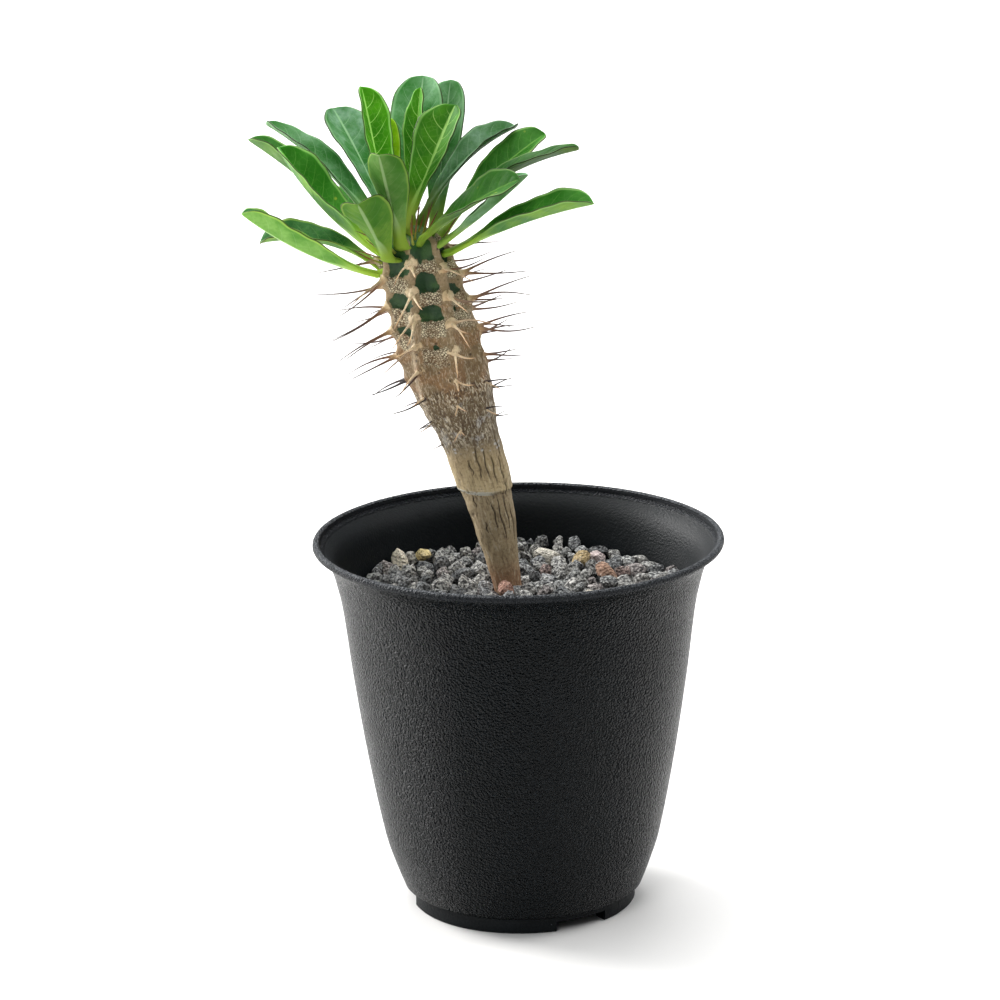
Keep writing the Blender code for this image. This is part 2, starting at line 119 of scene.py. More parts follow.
@dataclass(frozen=True)
class Curve:
    """A smooth curve through pairs of place and value, level outside its ends."""

    pairs: tuple[Pair, ...]

    def at(self, place: float) -> float:
        """The value at a place.

        Args:
            place: where on the curve.

        Returns:
            The value there.
        """
        places = [pair[0] for pair in self.pairs]
        start = min(max(bisect.bisect_right(places, place) - 1, 0), len(places) - 2)
        span = places[start + 1] - places[start]
        part = min(max((place - places[start]) / span, 0.0), 1.0)
        rest = 1 - part
        return (
            rest * rest * (1 + 2 * part) * self.pairs[start][1]
            + part * part * (3 - 2 * part) * self.pairs[start + 1][1]
            + span * part * rest * (rest * self._slope(start) - part * self._slope(start + 1))
        )

    def _slope(self, index: int) -> float:
        """The curve's slope at one of its pairs."""
        before, after = self.pairs[max(index - 1, 0)], self.pairs[min(index + 1, len(self.pairs) - 1)]
        return (after[1] - before[1]) / (after[0] - before[0])


# Shader graphs


def math_operator(operation: str, reflected: bool = False) -> Callable[["Field", Any], "Field"]:
    """An operator of a field.

    Args:
        operation: the Math node's operation.
        reflected: whether the field is its second value.

    Returns:
        The operator's method.
    """

    def apply(field: "Field", other: Any) -> "Field":
        """The Math node's result."""
        return field.math(operation, *((other, field) if reflected else (field, other)))

    return apply


class Field:
    """A socket of a shader graph. Python's operators on it add Math nodes."""

    __add__ = __radd__ = math_operator("ADD")
    __mul__ = __rmul__ = math_operator("MULTIPLY")
    __sub__ = math_operator("SUBTRACT")
    __rsub__ = math_operator("SUBTRACT", reflected=True)
    __truediv__ = math_operator("DIVIDE")
    __rtruediv__ = math_operator("DIVIDE", reflected=True)
    __gt__ = math_operator("GREATER_THAN")

    def __init__(self, graph: "Graph", socket: bpy.types.NodeSocket) -> None:
        """Wraps an output socket of a graph."""
        self.graph = graph
        self.socket = socket

    def __abs__(self) -> "Field":
        """The size of self."""
        return self.math("ABSOLUTE", self)

    def math(self, operation: str, *values: Any) -> "Field":
        """A new Math node's result on fields or numbers."""
        return self.graph.node("ShaderNodeMath", {"operation": operation}, dict(enumerate(values)))

    def fraction(self) -> "Field":
        """What is left over whole numbers."""
        return self.math("FRACT", self)

    def step(self, low: Any, high: Any) -> "Field":
        """A soft step from 0 at low to 1 at high, also where low is over high."""
        inputs = {"Value": self, "From Min": low, "From Max": high}
        return self.graph.node("ShaderNodeMapRange", {"interpolation_type": "SMOOTHSTEP"}, inputs)

    def band(self, low: float, high: float, soft: float) -> "Field":
        """1 between low and high, with soft shoulders outside them."""
        return self.step(low - soft, low) * self.step(high + soft, high)


class Graph:
    """The node graph of a material or a world, with its one shader."""

    def __init__(self, name: str, world: bool = False) -> None:
        """Starts a graph.

        Args:
            name: the name of its material or world.
            world: whether it is a world's.
        """
        self.owner = (bpy.data.worlds if world else bpy.data.materials).new(name)
        self.owner.use_nodes = True
        self.tree = self.owner.node_tree
        self.shader = self.tree.nodes["Background" if world else "Principled BSDF"]

    def node(
        self, kind: str, settings: dict | None = None, inputs: dict | None = None, output: Any = 0
    ) -> Field:
        """Adds a node.

        Args:
            kind: the node's type.
            settings: its properties; "stops" are a colour ramp's places and colours.
            inputs: what goes into its sockets, fields or plain values.
            output: the socket that comes back.

        Returns:
            That socket as a field.
        """
        made = self.tree.nodes.new(kind)
        for name, value in (settings or {}).items():
            if name == "stops":
                self._set_stops(made.color_ramp, value)
            else:
                setattr(made, name, value)
        for name, value in (inputs or {}).items():
            self.feed(made.inputs[name], value)
        return Field(self, made.outputs[output])

    def feed(self, socket: bpy.types.NodeSocket, value: Any) -> None:
        """Feeds a socket.

        Args:
            socket: the socket.
            value: a field, which is linked, or a plain value.
        """
        if isinstance(value, Field):
            self.tree.links.new(value.socket, socket)
        else:
            socket.default_value = (*value, 1) if socket.type == "RGBA" else value

    @staticmethod
    def _set_stops(ramp: bpy.types.ColorRamp, stops: Stops) -> None:
        """Gives a colour ramp its stops.

        Args:
            ramp: the ramp, which has two.
            stops: their places and colours.
        """
        for index, (place, colour) in enumerate(stops):
            stop = ramp.elements[index] if index < 2 else ramp.elements.new(place)
            stop.position = place
            stop.color = (*colour, 1)

    def place(self) -> Field:
        """Object coordinates."""
        return self.node("ShaderNodeTexCoord", output="Object")

    def axes(self, vector: Field) -> list[Field]:
        """The three parts of a vector."""
        separated = self.node("ShaderNodeSeparateXYZ", None, {0: vector})
        return [Field(self, output) for output in separated.socket.node.outputs]

    def turned(self, vector: Field, turn: Point = (0, 0, 0), scale: Point = (1, 1, 1)) -> Field:
        """A vector turned about each axis and then stretched."""
        spun = self.node("ShaderNodeMapping", None, {"Vector": vector, "Rotation": turn})
        return self.node("ShaderNodeMapping", None, {"Vector": spun, "Scale": scale})

    def attribute(self, name: str, output: str = "Fac") -> Field:
        """An attribute of the mesh."""
        return self.node("ShaderNodeAttribute", {"attribute_name": name}, None, output)

    def noise(self, vector: Field, size: float, detail: float = 2, twist: float = 0) -> Field:
        """Noise from 0 to 1 with bumps a size apart, finer layers as detail, and a twist."""
        inputs = {"Vector": vector, "Scale": 1 / size, "Detail": detail, "Distortion": twist}
        return self.node("ShaderNodeTexNoise", None, inputs)

    def cells(self, vector: Field, size: float, feature: str = "F1") -> Field:
        """The distance in a pattern of cells, by its feature."""
        inputs = {"Vector": vector, "Scale": 1 / size}
        return self.node("ShaderNodeTexVoronoi", {"feature": feature}, inputs, "Distance")

    def ramp(self, value: Field, stops: Stops) -> Field:
        """A colour ramp over a value."""
        return self.node("ShaderNodeValToRGB", {"stops": stops}, {0: value})

    def mix(self, factor: Any, first: Any, second: Any, blend: str = "MIX") -> Field:
        """Two colours mixed, with a factor of the second."""
        settings = {"data_type": "RGBA", "blend_type": blend}
        return self.node("ShaderNodeMix", settings, {0: factor, 6: first, 7: second}, 2)

    def coats(self, colour: Any, *coats: tuple[Field, Any]) -> Field:
        """Colours laid over one another.

        Args:
            colour: the lowest one.
            coats: the others from below, each with how far it covers before its colour.

        Returns:
            The colour that shows.
        """
        for cover, coat in coats:
            colour = self.mix(cover, colour, coat)
        return colour

    def bump(self, height: Field, distance: float, strength: float = 1.0) -> Field:
        """A normal from a height, where a height of 1 stands out by the distance."""
        inputs = {"Strength": strength, "Distance": distance, "Height": height}
        return self.node("ShaderNodeBump", None, inputs)

    def finish(self, **inputs: Any) -> Any:
        """Feeds the shader, whose sockets are named with _ for a space.

        Args:
            inputs: a field or a plain value for each socket.

        Returns:
            The material or the world.
        """
        for name, value in inputs.items():
            self.feed(self.shader.inputs[name.replace("_", " ")], value)
        return self.owner


# Finishes


@dataclass(frozen=True)
class PotPlastic:
    """Black moulded plastic: leather-like grain outside with painted glints on its ridges, satin inside,
    specks of dust, and a painted highlight on the lip.
    """

    colour: Colour = paint(5, 10, 13)
    # Random wear patches, and the painted glints on the grain's ridges
    wear_and_glint: Colour = paint(20, 27, 32)
    # Painted highlight on the lip's top, and a brighter painted highlight along its edge
    lip_highlight: Colour = paint(30, 33, 37)
    lip_edge_highlight: Colour = paint(96, 99, 103)
    dust: Colour = paint(120, 124, 136)
    lip_height: Span = (0.0677, 0.0679)
    edge_height: Span = (0.0688, 0.0692)
    grain_size: float = 0.00036
    grain_depth: float = 0.0019
    fine_size: float = 0.0002
    patch_size: float = 0.012
    speck_size: float = 0.0016
    dusty_size: float = 0.009
    roughness: float = 0.31
    inside_roughness: float = 0.2

    def make(self) -> Material:
        """Makes the material, which reads the attribute "grain" of the pot's mesh.

        Returns:
            The material.
        """
        graph = Graph("black moulded plastic")
        place = graph.place()
        level = graph.axes(place)[2]
        grained = graph.attribute("grain")
        wavy = graph.noise(graph.turned(place, scale=(1, 1, 0.8)), self.grain_size, 2, 0.25)
        pebbles = graph.cells(place, self.grain_size, "SMOOTH_F1").step(0.75, 0.1)
        ridges = grained * wavy.step(0.48, 0.66)
        patches = graph.noise(place, self.patch_size, 3).step(0.4, 0.75)
        specks = graph.cells(place, self.speck_size).step(0.09, 0.03)
        dusty = graph.noise(place, self.dusty_size).step(0.52, 0.66)
        colour = graph.coats(
            self.colour,
            (patches * 0.2, self.wear_and_glint),
            # Painted highlight: the grain's ridges are painted lighter, as glints
            (ridges * 0.8, self.wear_and_glint),
            # Painted highlight on the lip, and a brighter one along its outer edge
            (level.step(*self.lip_height) * 0.9, self.lip_highlight),
            (level.step(*self.edge_height) * wavy.step(0.36, 0.62) * 0.8, self.lip_edge_highlight),
            (specks * dusty * 0.35, self.dust),
        )
        height = grained * (wavy * 0.9 + pebbles * 0.9) + graph.noise(place, self.fine_size) * 0.03
        return graph.finish(
            Base_Color=colour,
            Roughness=self.roughness - ridges * 0.06 + (1 - grained) * self.inside_roughness,
            Specular_IOR_Level=0.14,
            Normal=graph.bump(height, self.grain_depth),
        )


@dataclass(frozen=True)
class PottingSoil:
    """Dark crumbly soil with paler bits."""

    dark: Colour = paint(38, 28, 20)
    pale: Colour = paint(92, 70, 50)
    bits: Colour = paint(150, 140, 120)
    crumb_size: float = 0.0022
    crumb_height: float = 0.0006

    def make(self) -> Material:
        """Makes the material.

        Returns:
            The material.
        """
        graph = Graph("potting soil")
        place = graph.place()
        rough = graph.noise(place, self.crumb_size / 2, 6)
        bits = graph.cells(place, self.crumb_size * 1.8).step(0.2, 0.12)
        height = graph.cells(place, self.crumb_size) + rough * 0.5
        return graph.finish(
            Base_Color=graph.coats(self.dark, (rough.step(0.35, 0.7), self.pale), (bits * 0.8, self.bits)),
            Roughness=0.95,
            Normal=graph.bump(height, self.crumb_height, 0.8),
        )


@dataclass(frozen=True)
class LavaStone:
    """Rough porous stone, in the colour that each stone carries."""

    even: Colour = paint(255, 255, 253)
    shade: Colour = paint(96, 96, 98)
    pit: Colour = paint(26, 26, 27)
    crust: Colour = paint(206, 205, 200)
    powder: Colour = paint(176, 174, 168)
    pit_size: float = 0.0007
    pit_depth: float = 0.0009
    patch_size: float = 0.0018
    roughness: float = 0.92

    def make(self) -> Material:
        """Makes the material, which reads a stone's colour and its pits from "tint".

        Returns:
            The material.
        """
        graph = Graph("lava stone")
        place = graph.place()
        pitted = graph.attribute("tint", "Alpha")
        pits = graph.cells(place, self.pit_size).step(0.0, 0.55)
        rough = graph.noise(place, self.pit_size * 0.7, 5)
        broad = graph.noise(place, self.patch_size, 3)
        shaded = graph.mix(rough.step(0.66, 0.36) * pitted, self.even, self.shade)
        colour = graph.coats(
            graph.mix(1.0, graph.attribute("tint", "Color"), shaded, "MULTIPLY"),
            (pits.step(0.42, 0.1) * pitted * 0.62, self.pit),
            (rough.step(0.58, 0.7) * 0.35, self.crust),
            (broad.step(0.55, 0.75) * 0.3, self.powder),
        )
        return graph.finish(
            Base_Color=colour,
            Roughness=self.roughness,
            Specular_IOR_Level=0.3,
            Normal=graph.bump(pits * 0.5 + rough + broad * 0.6, self.pit_depth),
        )


@dataclass(frozen=True)
class Bark:
    """The stem's skin: fibrous below, with cracks, and green windows and pale scars above.

    Its spans and bands are heights on the stem, and its sizes are those of its patterns.
    """

    lean: float = math.radians(15)
    lowest: float = 0.0580
    highest: float = 0.1260
    bands: Stops = (
        (0.0580, paint(140, 104, 80)), (0.0618, paint(150, 118, 88)), (0.0655, paint(168, 148, 115)),
        (0.0720, paint(172, 153, 120)), (0.0779, paint(172, 153, 120)), (0.0786, paint(194, 174, 134)),
        (0.0840, paint(162, 143, 107)), (0.0864, paint(144, 128, 99)), (0.0880, paint(111, 98, 77)),
        (0.0950, paint(112, 95, 69)), (0.1000, paint(119, 98, 68)), (0.1080, paint(128, 109, 78)),
        (0.1200, paint(142, 123, 91)),
    )
    window: Colour = paint(34, 62, 34)
    window_pale: Colour = paint(66, 100, 46)
    scar: Colour = paint(232, 220, 186)
    scar_dark: Colour = paint(84, 66, 46)
    ridge: Colour = paint(158, 138, 107)
    rust: Colour = paint(136, 100, 63)
    silver: Colour = paint(184, 182, 176)
    pale: Colour = paint(222, 210, 184)
    dark: Colour = paint(84, 68, 52)
    crack: Colour = paint(40, 30, 22)
    chalk: Colour = paint(222, 220, 206)
    crown: Colour = paint(54, 104, 40)
    woody: Span = (0.1000, 0.0960)
    club: Band = (0.0975, 0.1120, 0.0025)
    netted: Band = (0.0884, 0.0972, 0.0020)
    silvery: Band = (0.0872, 0.0952, 0.001)
    pocked: Span = (0.088, 0.1)
    gritty: Band = (0.0861, 0.0871, 0.0004)
    chalky: Band = (0.0779, 0.0785, 0.00016)
    chalk_side: Span = (0.0024, -0.0012)
    pitted: Band = (0.0777, 0.0782, 0.0002)
    splitting: Band = (0.0700, 0.0850, 0.0012)
    split_end: Span = (0.0860, 0.0760)
    ridge_end: Span = (0.1258, 0.1242)
    green_tip: Span = (0.1226, 0.1244)
    fibre_size: float = 0.00042
    net_size: float = 0.0005
    broad_size: float = 0.0032
    fine_size: float = 0.0005
    rust_size: float = 0.0034
    silver_size: float = 0.0026
    pock_size: float = 0.0017
    grit_size: float = 0.0009
    chalk_size: float = 0.0010
    pit_size: float = 0.0007
    crackle_size: float = 0.0005
    split_size: float = 0.0012
    split_patch: float = 0.0026
    relief: float = 0.0003

    def make(self) -> Material:
        """Makes the material, which reads the marks of the stem's mesh.

        Returns:
            The material.
        """
        graph = Graph("stem bark")
        place = graph.place()
        level, window, scarred, cracked = (
            graph.attribute(name) for name in ("level", "window", "scar", "crack")
        )
        fibres = graph.noise(self._along(graph, 0.13), self.fibre_size, 4, 0.3)
        net = graph.noise(self._along(graph, 0.36), self.net_size, 2, 1.6)
        broad = graph.noise(place, self.broad_size, 3)
        fine = graph.noise(place, self.fine_size, 5)
        reach = self.highest - self.lowest
        stops = tuple(((height - self.lowest) / reach, colour) for height, colour in self.bands)
        woody = level.step(*self.woody)
        club = level.band(*self.club)
        speckled = (level + (broad - 0.5) * 0.005).band(*self.netted) + club * 0.45
        rusty = graph.noise(place, self.rust_size, 3, 0.4).step(0.44, 0.62)
        silvery = graph.noise(place, self.silver_size, 3).step(0.55, 0.66)
        pocks = graph.cells(place, self.pock_size).step(0.18, 0.1)
        grit = graph.cells(place, self.grit_size).step(0.42, 0.2)
        side = graph.axes(place)[0].step(*self.chalk_side)
        chalk = graph.noise(place, self.chalk_size, 3).step(0.36, 0.48) * side
        pits = graph.cells(place, self.pit_size).step(0.3, 0.14)
        crackle = graph.cells(self._along(graph, 1.5), self.crackle_size, "DISTANCE_TO_EDGE").step(0.03, 0.2)
        marks = graph.mix(crackle, self.scar_dark, self.scar)
        ridge = graph.attribute("ridge") * level.step(*self.ridge_end)
        splits = graph.cells(self._along(graph, 0.07), self.split_size, "DISTANCE_TO_EDGE").step(0.07, 0.02)
        splits *= graph.noise(place, self.split_patch).step(0.5, 0.6) * level.band(*self.splitting)
        splits *= level.step(*self.split_end)
        colour = graph.coats(
            graph.ramp((level + (broad - 0.5) * 0.0022 - self.lowest) / reach, stops),
            (rusty * club * 0.7, self.rust),
            (silvery * level.band(*self.silvery) * 0.7, self.silver),
            (graph.attribute("ridge") * broad.step(0.35, 0.6) * 0.6, self.ridge),
            (fibres.step(0.5, 0.3) * woody * 0.5, self.dark),
            (fibres.step(0.55, 0.72) * woody * 0.4, self.pale),
            (net.step(0.47, 0.36) * speckled * 0.85, self.dark),
            (net.step(0.52, 0.64) * speckled * 0.6, self.pale),
            (fine.step(0.5, 0.32) * 0.4, self.dark),
            (fine.step(0.58, 0.75) * 0.3, self.pale),
            (pocks * level.step(*self.pocked) * 0.7, self.crack),
            (grit * level.band(*self.gritty) * 0.75, self.silver),
            (chalk * level.band(*self.chalky) * 0.9, self.chalk),
            (pits * level.band(*self.pitted) * 0.9, self.crack),
            (scarred * 0.9, graph.mix(broad.step(0.55, 0.35) * 0.4, marks, self.rust)),
            (
                window.step(0.35, 0.65),
                graph.mix(broad.step(0.45, 0.75) * 0.6, self.window, self.window_pale),
            ),
            (level.step(*self.green_tip) * (1 - ridge) * 0.85, self.crown),
            (cracked * 0.9, self.crack),
            (splits * 0.38, self.crack),
        )
        relief = fine * 0.5 + fibres * woody * 0.6 + net * speckled * 1.3
        relief = relief + crackle * scarred * 0.9 - cracked * 0.8 - splits * 0.5
        return graph.finish(
            Base_Color=colour,
            Roughness=0.72 - window * 0.25,
            Specular_IOR_Level=0.35,
            Normal=graph.bump(relief, self.relief, 0.9),
        )

    def _along(self, graph: Graph, stretch: float) -> Field:
        """Places turned along the leaning stem, with a pattern's closeness along it."""
        return graph.turned(graph.place(), (0, self.lean, 0), (1, 1, stretch))


@dataclass(frozen=True)
class SpineHorn:
    """Spine: tan at its broad root and dark brown at its tip, or pale all along, with painted shade on the
    spines low on the stem.
    """

    dark: Stops = (
        (0.0, paint(196, 174, 134)), (0.07, paint(180, 150, 108)), (0.22, paint(122, 86, 62)),
        (0.50, paint(74, 48, 40)), (1.0, paint(40, 26, 24)),
    )
    pale: Stops = (
        (0.0, paint(206, 184, 146)), (0.35, paint(226, 204, 170)), (0.8, paint(198, 160, 116)),
        (1.0, paint(120, 84, 60)),
    )
    # Painted shade on the spines low on the stem, except their roots
    low_shade: Colour = paint(34, 26, 26)
    low_shade_heights: Span = (0.1030, 0.0985)
    streak: Colour = paint(90, 64, 46)
    streak_size: float = 0.0006
    streak_height: float = 0.00008

    def make(self) -> Material:
        """Makes the material, which reads the marks of the spines' mesh.

        Returns:
            The material.
        """
        graph = Graph("spine horn")
        place = graph.place()
        along = graph.attribute("along")
        streaks = graph.noise(place, self.streak_size, 3)
        # Painted shade: spines below these heights are darkened, except their roots
        low_shade = graph.axes(place)[2].step(*self.low_shade_heights) * along.step(0.02, 0.12)
        colour = graph.coats(
            graph.ramp(along, self.dark),
            # Painted shade on the low spines
            (low_shade, self.low_shade),
            (graph.attribute("pale"), graph.ramp(along, self.pale)),
            (streaks.step(0.55, 0.35) * 0.3, self.streak),
        )
        bump = graph.bump(streaks, self.streak_height, 0.6)
        return graph.finish(Base_Color=colour, Roughness=0.5, Normal=bump)


@dataclass(frozen=True)
class Bract:
    """The crown's bracts: yellow-green at the root, then red-brown to a dark point."""

    stops: Stops = ((0.15, paint(150, 156, 60)), (0.5, paint(138, 76, 44)), (0.95, paint(80, 40, 34)))
    patch_size: float = 0.0012

    def make(self) -> Material:
        """Makes the material, which reads the attribute "along" of the bracts' mesh.

        Returns:
            The material.
        """
        graph = Graph("crown bract")
        patches = graph.noise(graph.place(), self.patch_size, 3) - 0.5
        colour = graph.ramp(graph.attribute("along") + patches * 0.3, self.stops)
        return graph.finish(Base_Color=colour, Roughness=0.5)


@dataclass(frozen=True)
class LeafGreen:
    """A leaf's skin: blade, veins, margin and stalk, its paler underside, and a painted shade along its
    edge.
    """

    name: str
    blade: Colour
    shade: Colour
    vein: Colour
    margin: Colour
    stalk: Colour
    under: Colour
    haze: float
    vein_strength: float
    roughness: float
    midrib: float = 0.075
    spots: float = 0.0
    under_shade: Colour = paint(74, 118, 62)
    under_vein: Colour = paint(158, 186, 128)
    # Painted shade: the colour of a dark line along the leaf's edge
    edge: Colour = paint(46, 56, 32)
    bloom: Colour = paint(142, 174, 154)
    spot: Colour = paint(176, 190, 70)
    vein_width: float = 0.07
    broad_size: float = 0.0055
    fine_size: float = 0.0006
    net_size: float = 0.0012
    spot_size: float = 0.0021
    relief: float = 0.00022

    def make(self) -> Material:
        """Makes the material, which reads the leaf's own map and its marks.

        Returns:
            The material.
        """
        graph = Graph(self.name)
        place = graph.place()
        turn, along, _ = graph.axes(graph.node("ShaderNodeUVMap", {"uv_map": "leaf"}))
        below = turn * 2 > 1
        across = abs((turn * 2).fraction() * 2 - 1)
        broad = graph.noise(place, self.broad_size, 3)
        fine = graph.noise(place, self.fine_size, 4)
        off_vein = abs(graph.attribute("vein").fraction() * 2 - 1)
        in_blade = across.step(0.9, 0.6) * along.step(0.2, 0.36) * along.step(0.98, 0.88)
        net = graph.cells(place, self.net_size, "DISTANCE_TO_EDGE").step(0.1, 0.0) * in_blade
        veins = off_vein.step(self.vein_width, self.vein_width * 0.25) * in_blade
        edge = 0.8 - along.step(0.05, 0.42) * (0.8 - self.midrib)
        midrib = across.step(edge, edge * 0.45)
        rim = across.step(0.84, 0.91) * along.step(0.2, 0.4)
        # Painted shade along the leaf's edge
        painted_edge_shade = across.step(0.935, 0.97) * along.step(0.25, 0.45)
        stalk = along.step(0.36, 0.07)
        spots = graph.cells(place, self.spot_size).step(0.24, 0.12) * self.spots
        hazy = graph.attribute("bloom")
        top = graph.coats(
            self.shade,
            (broad.step(0.35, 0.68), self.blade),
            (broad.step(0.3, 0.8) * (hazy + self.haze), self.bloom),
            (net * 0.12, self.vein),
            (fine.step(0.6, 0.35) * 0.3, self.shade),
            (spots * broad.step(0.45, 0.6), self.spot),
            (veins * self.vein_strength, self.vein),
            (midrib * 0.85, self.vein),
            (rim * 0.55, self.margin),
            (stalk, self.stalk),
        )
        low = graph.coats(
            self.under_shade,
            (broad.step(0.35, 0.65), self.under),
            (broad.step(0.3, 0.7) * hazy, self.bloom),
            (fine.step(0.6, 0.35) * 0.25, self.under_shade),
            (veins * 0.16, self.under_vein),
            (midrib * 0.75, self.under_vein),
            (rim * 0.5, self.margin),
            (stalk, self.stalk),
        )
        skin = graph.coats(top, (below, low), (painted_edge_shade * 0.9, self.edge))
        relief = off_vein.step(0.0, 0.7) * in_blade * 0.3 + fine * 0.12 - net * 0.06
        return graph.finish(
            # The attribute light scales each leaf's colour: partly its own tone, partly painted light and
            # shade
            Base_Color=graph.mix(1.0, skin, graph.attribute("light"), "MULTIPLY"),
            Roughness=self.roughness + below * 0.16 + (broad - 0.5) * 0.16,
            Specular_IOR_Level=0.08,
            Subsurface_Weight=0.12,
            Subsurface_Radius=(0.35, 0.8, 0.2),
            Subsurface_Scale=0.0016,
            Normal=graph.bump(relief, self.relief, 0.8),
        )


class LeafTone(Enum):
    """How old a leaf is and how its skin looks."""

    BRIGHT = LeafGreen(
        name="bright young leaf", haze=0.0, vein_strength=0.9, roughness=0.56, midrib=0.11,
        blade=paint(72, 138, 20), shade=paint(48, 112, 12), vein=paint(158, 204, 104),
        margin=paint(160, 206, 116), stalk=paint(150, 172, 66), under=paint(92, 140, 66),
    )
    YELLOW = LeafGreen(
        name="opening leaf", haze=0.0, vein_strength=0.4, roughness=0.42,
        blade=paint(140, 186, 20), shade=paint(104, 158, 16), vein=paint(176, 206, 96),
        margin=paint(176, 210, 90), stalk=paint(140, 178, 60), under=paint(136, 176, 50),
    )
    HAZY = LeafGreen(
        name="grown leaf with a bloom", haze=0.42, vein_strength=0.4, roughness=0.46,
        blade=paint(80, 144, 66), shade=paint(52, 116, 46), vein=paint(150, 190, 144),
        margin=paint(146, 186, 140), stalk=paint(134, 168, 70), under=paint(104, 148, 92),
    )
    DEEP = LeafGreen(
        name="grown dark leaf", haze=0.04, vein_strength=0.4, roughness=0.4, spots=0.5,
        blade=paint(62, 124, 34), shade=paint(42, 102, 24), vein=paint(118, 168, 80),
        margin=paint(152, 190, 112), stalk=paint(134, 168, 56), under=paint(108, 146, 56),
    )
    OUTER = LeafGreen(
        name="outer leaf", haze=0.12, vein_strength=0.3, roughness=0.44,
        blade=paint(58, 114, 48), shade=paint(38, 90, 36), vein=paint(132, 172, 100),
        margin=paint(158, 184, 84), stalk=paint(134, 164, 56), under=paint(104, 146, 54),
        under_shade=paint(66, 118, 36),
    )


# Meshes and pieces


def grid_mesh(columns: int, rows: int, mapped: bool = False) -> BMesh:
    """A flat grid whose vertices run from 0 to 1 both ways.

    Args:
        columns: how many faces it has across.
        rows: how many it has up.
        mapped: whether it gets a map, named "leaf", with the same places.

    Returns:
        The new bmesh.
    """
    bm = bmesh.new()
    if mapped:
        bm.loops.layers.uv.new("leaf")
    middle = Matrix.Translation((0.5, 0.5, 0))
    bmesh.ops.create_grid(bm, x_segments=columns, y_segments=rows, size=0.5, matrix=middle, calc_uvs=mapped)
    return bm


def add_marks(bm: BMesh, *names: str) -> dict[str, Any]:
    """New layers of numbers on a mesh's vertices, by their names."""
    return {name: bm.verts.layers.float.new(name) for name in names}


def close_tube(bm: BMesh) -> None:
    """Welds a rolled-up grid along its seam, fills its ends and turns its faces outwards.

    Args:
        bm: the grid.
    """
    bmesh.ops.remove_doubles(bm, verts=bm.verts, dist=MERGE)
    ends = [edge for edge in bm.edges if edge.is_boundary]
    bmesh.ops.holes_fill(bm, edges=ends, sides=0)
    bmesh.ops.recalc_face_normals(bm, faces=bm.faces)


def mesh_of(name: str, bm: BMesh, crease: float = 180.0) -> Mesh:
    """Turns a bmesh into a mesh.

    Args:
        name: the mesh's name.
        bm: the bmesh, which is freed.
        crease: edges sharper than this angle stay sharp, in degrees.

    Returns:
        The new mesh.
    """
    mesh = bpy.data.meshes.new(name)
    bm.to_mesh(mesh)
    bm.free()
    mesh.shade_smooth()
    mesh.set_sharp_from_angle(angle=math.radians(crease))
    return mesh


def link(name: str, data: Any) -> bpy.types.Object:
    """Puts an object in the scene.

    Args:
        name: its name.
        data: its mesh, light or camera.

    Returns:
        The new object.
    """
    made = bpy.data.objects.new(name, data)
    bpy.context.scene.collection.objects.link(made)
    return made


def add_piece(name: str, bm: BMesh, finish: Material, node: str, crease: float = 180.0) -> None:
    """Puts a piece in the scene in place of a CAD node.

    Args:
        name: the piece's name.
        bm: its mesh, measured from the pot's axis. It is freed.
        finish: its material.
        node: the CAD node that it stands for.
        crease: edges sharper than this angle stay sharp, in degrees.
    """
    bmesh.ops.translate(bm, verts=bm.verts, vec=AXIS)
    mesh = mesh_of(name, bm, crease)
    mesh.materials.append(finish)
    made = link(name, mesh)
    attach(made, "root")
    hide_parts(node)
    log.info("%s: %d faces for %s", name, len(mesh.polygons), node)


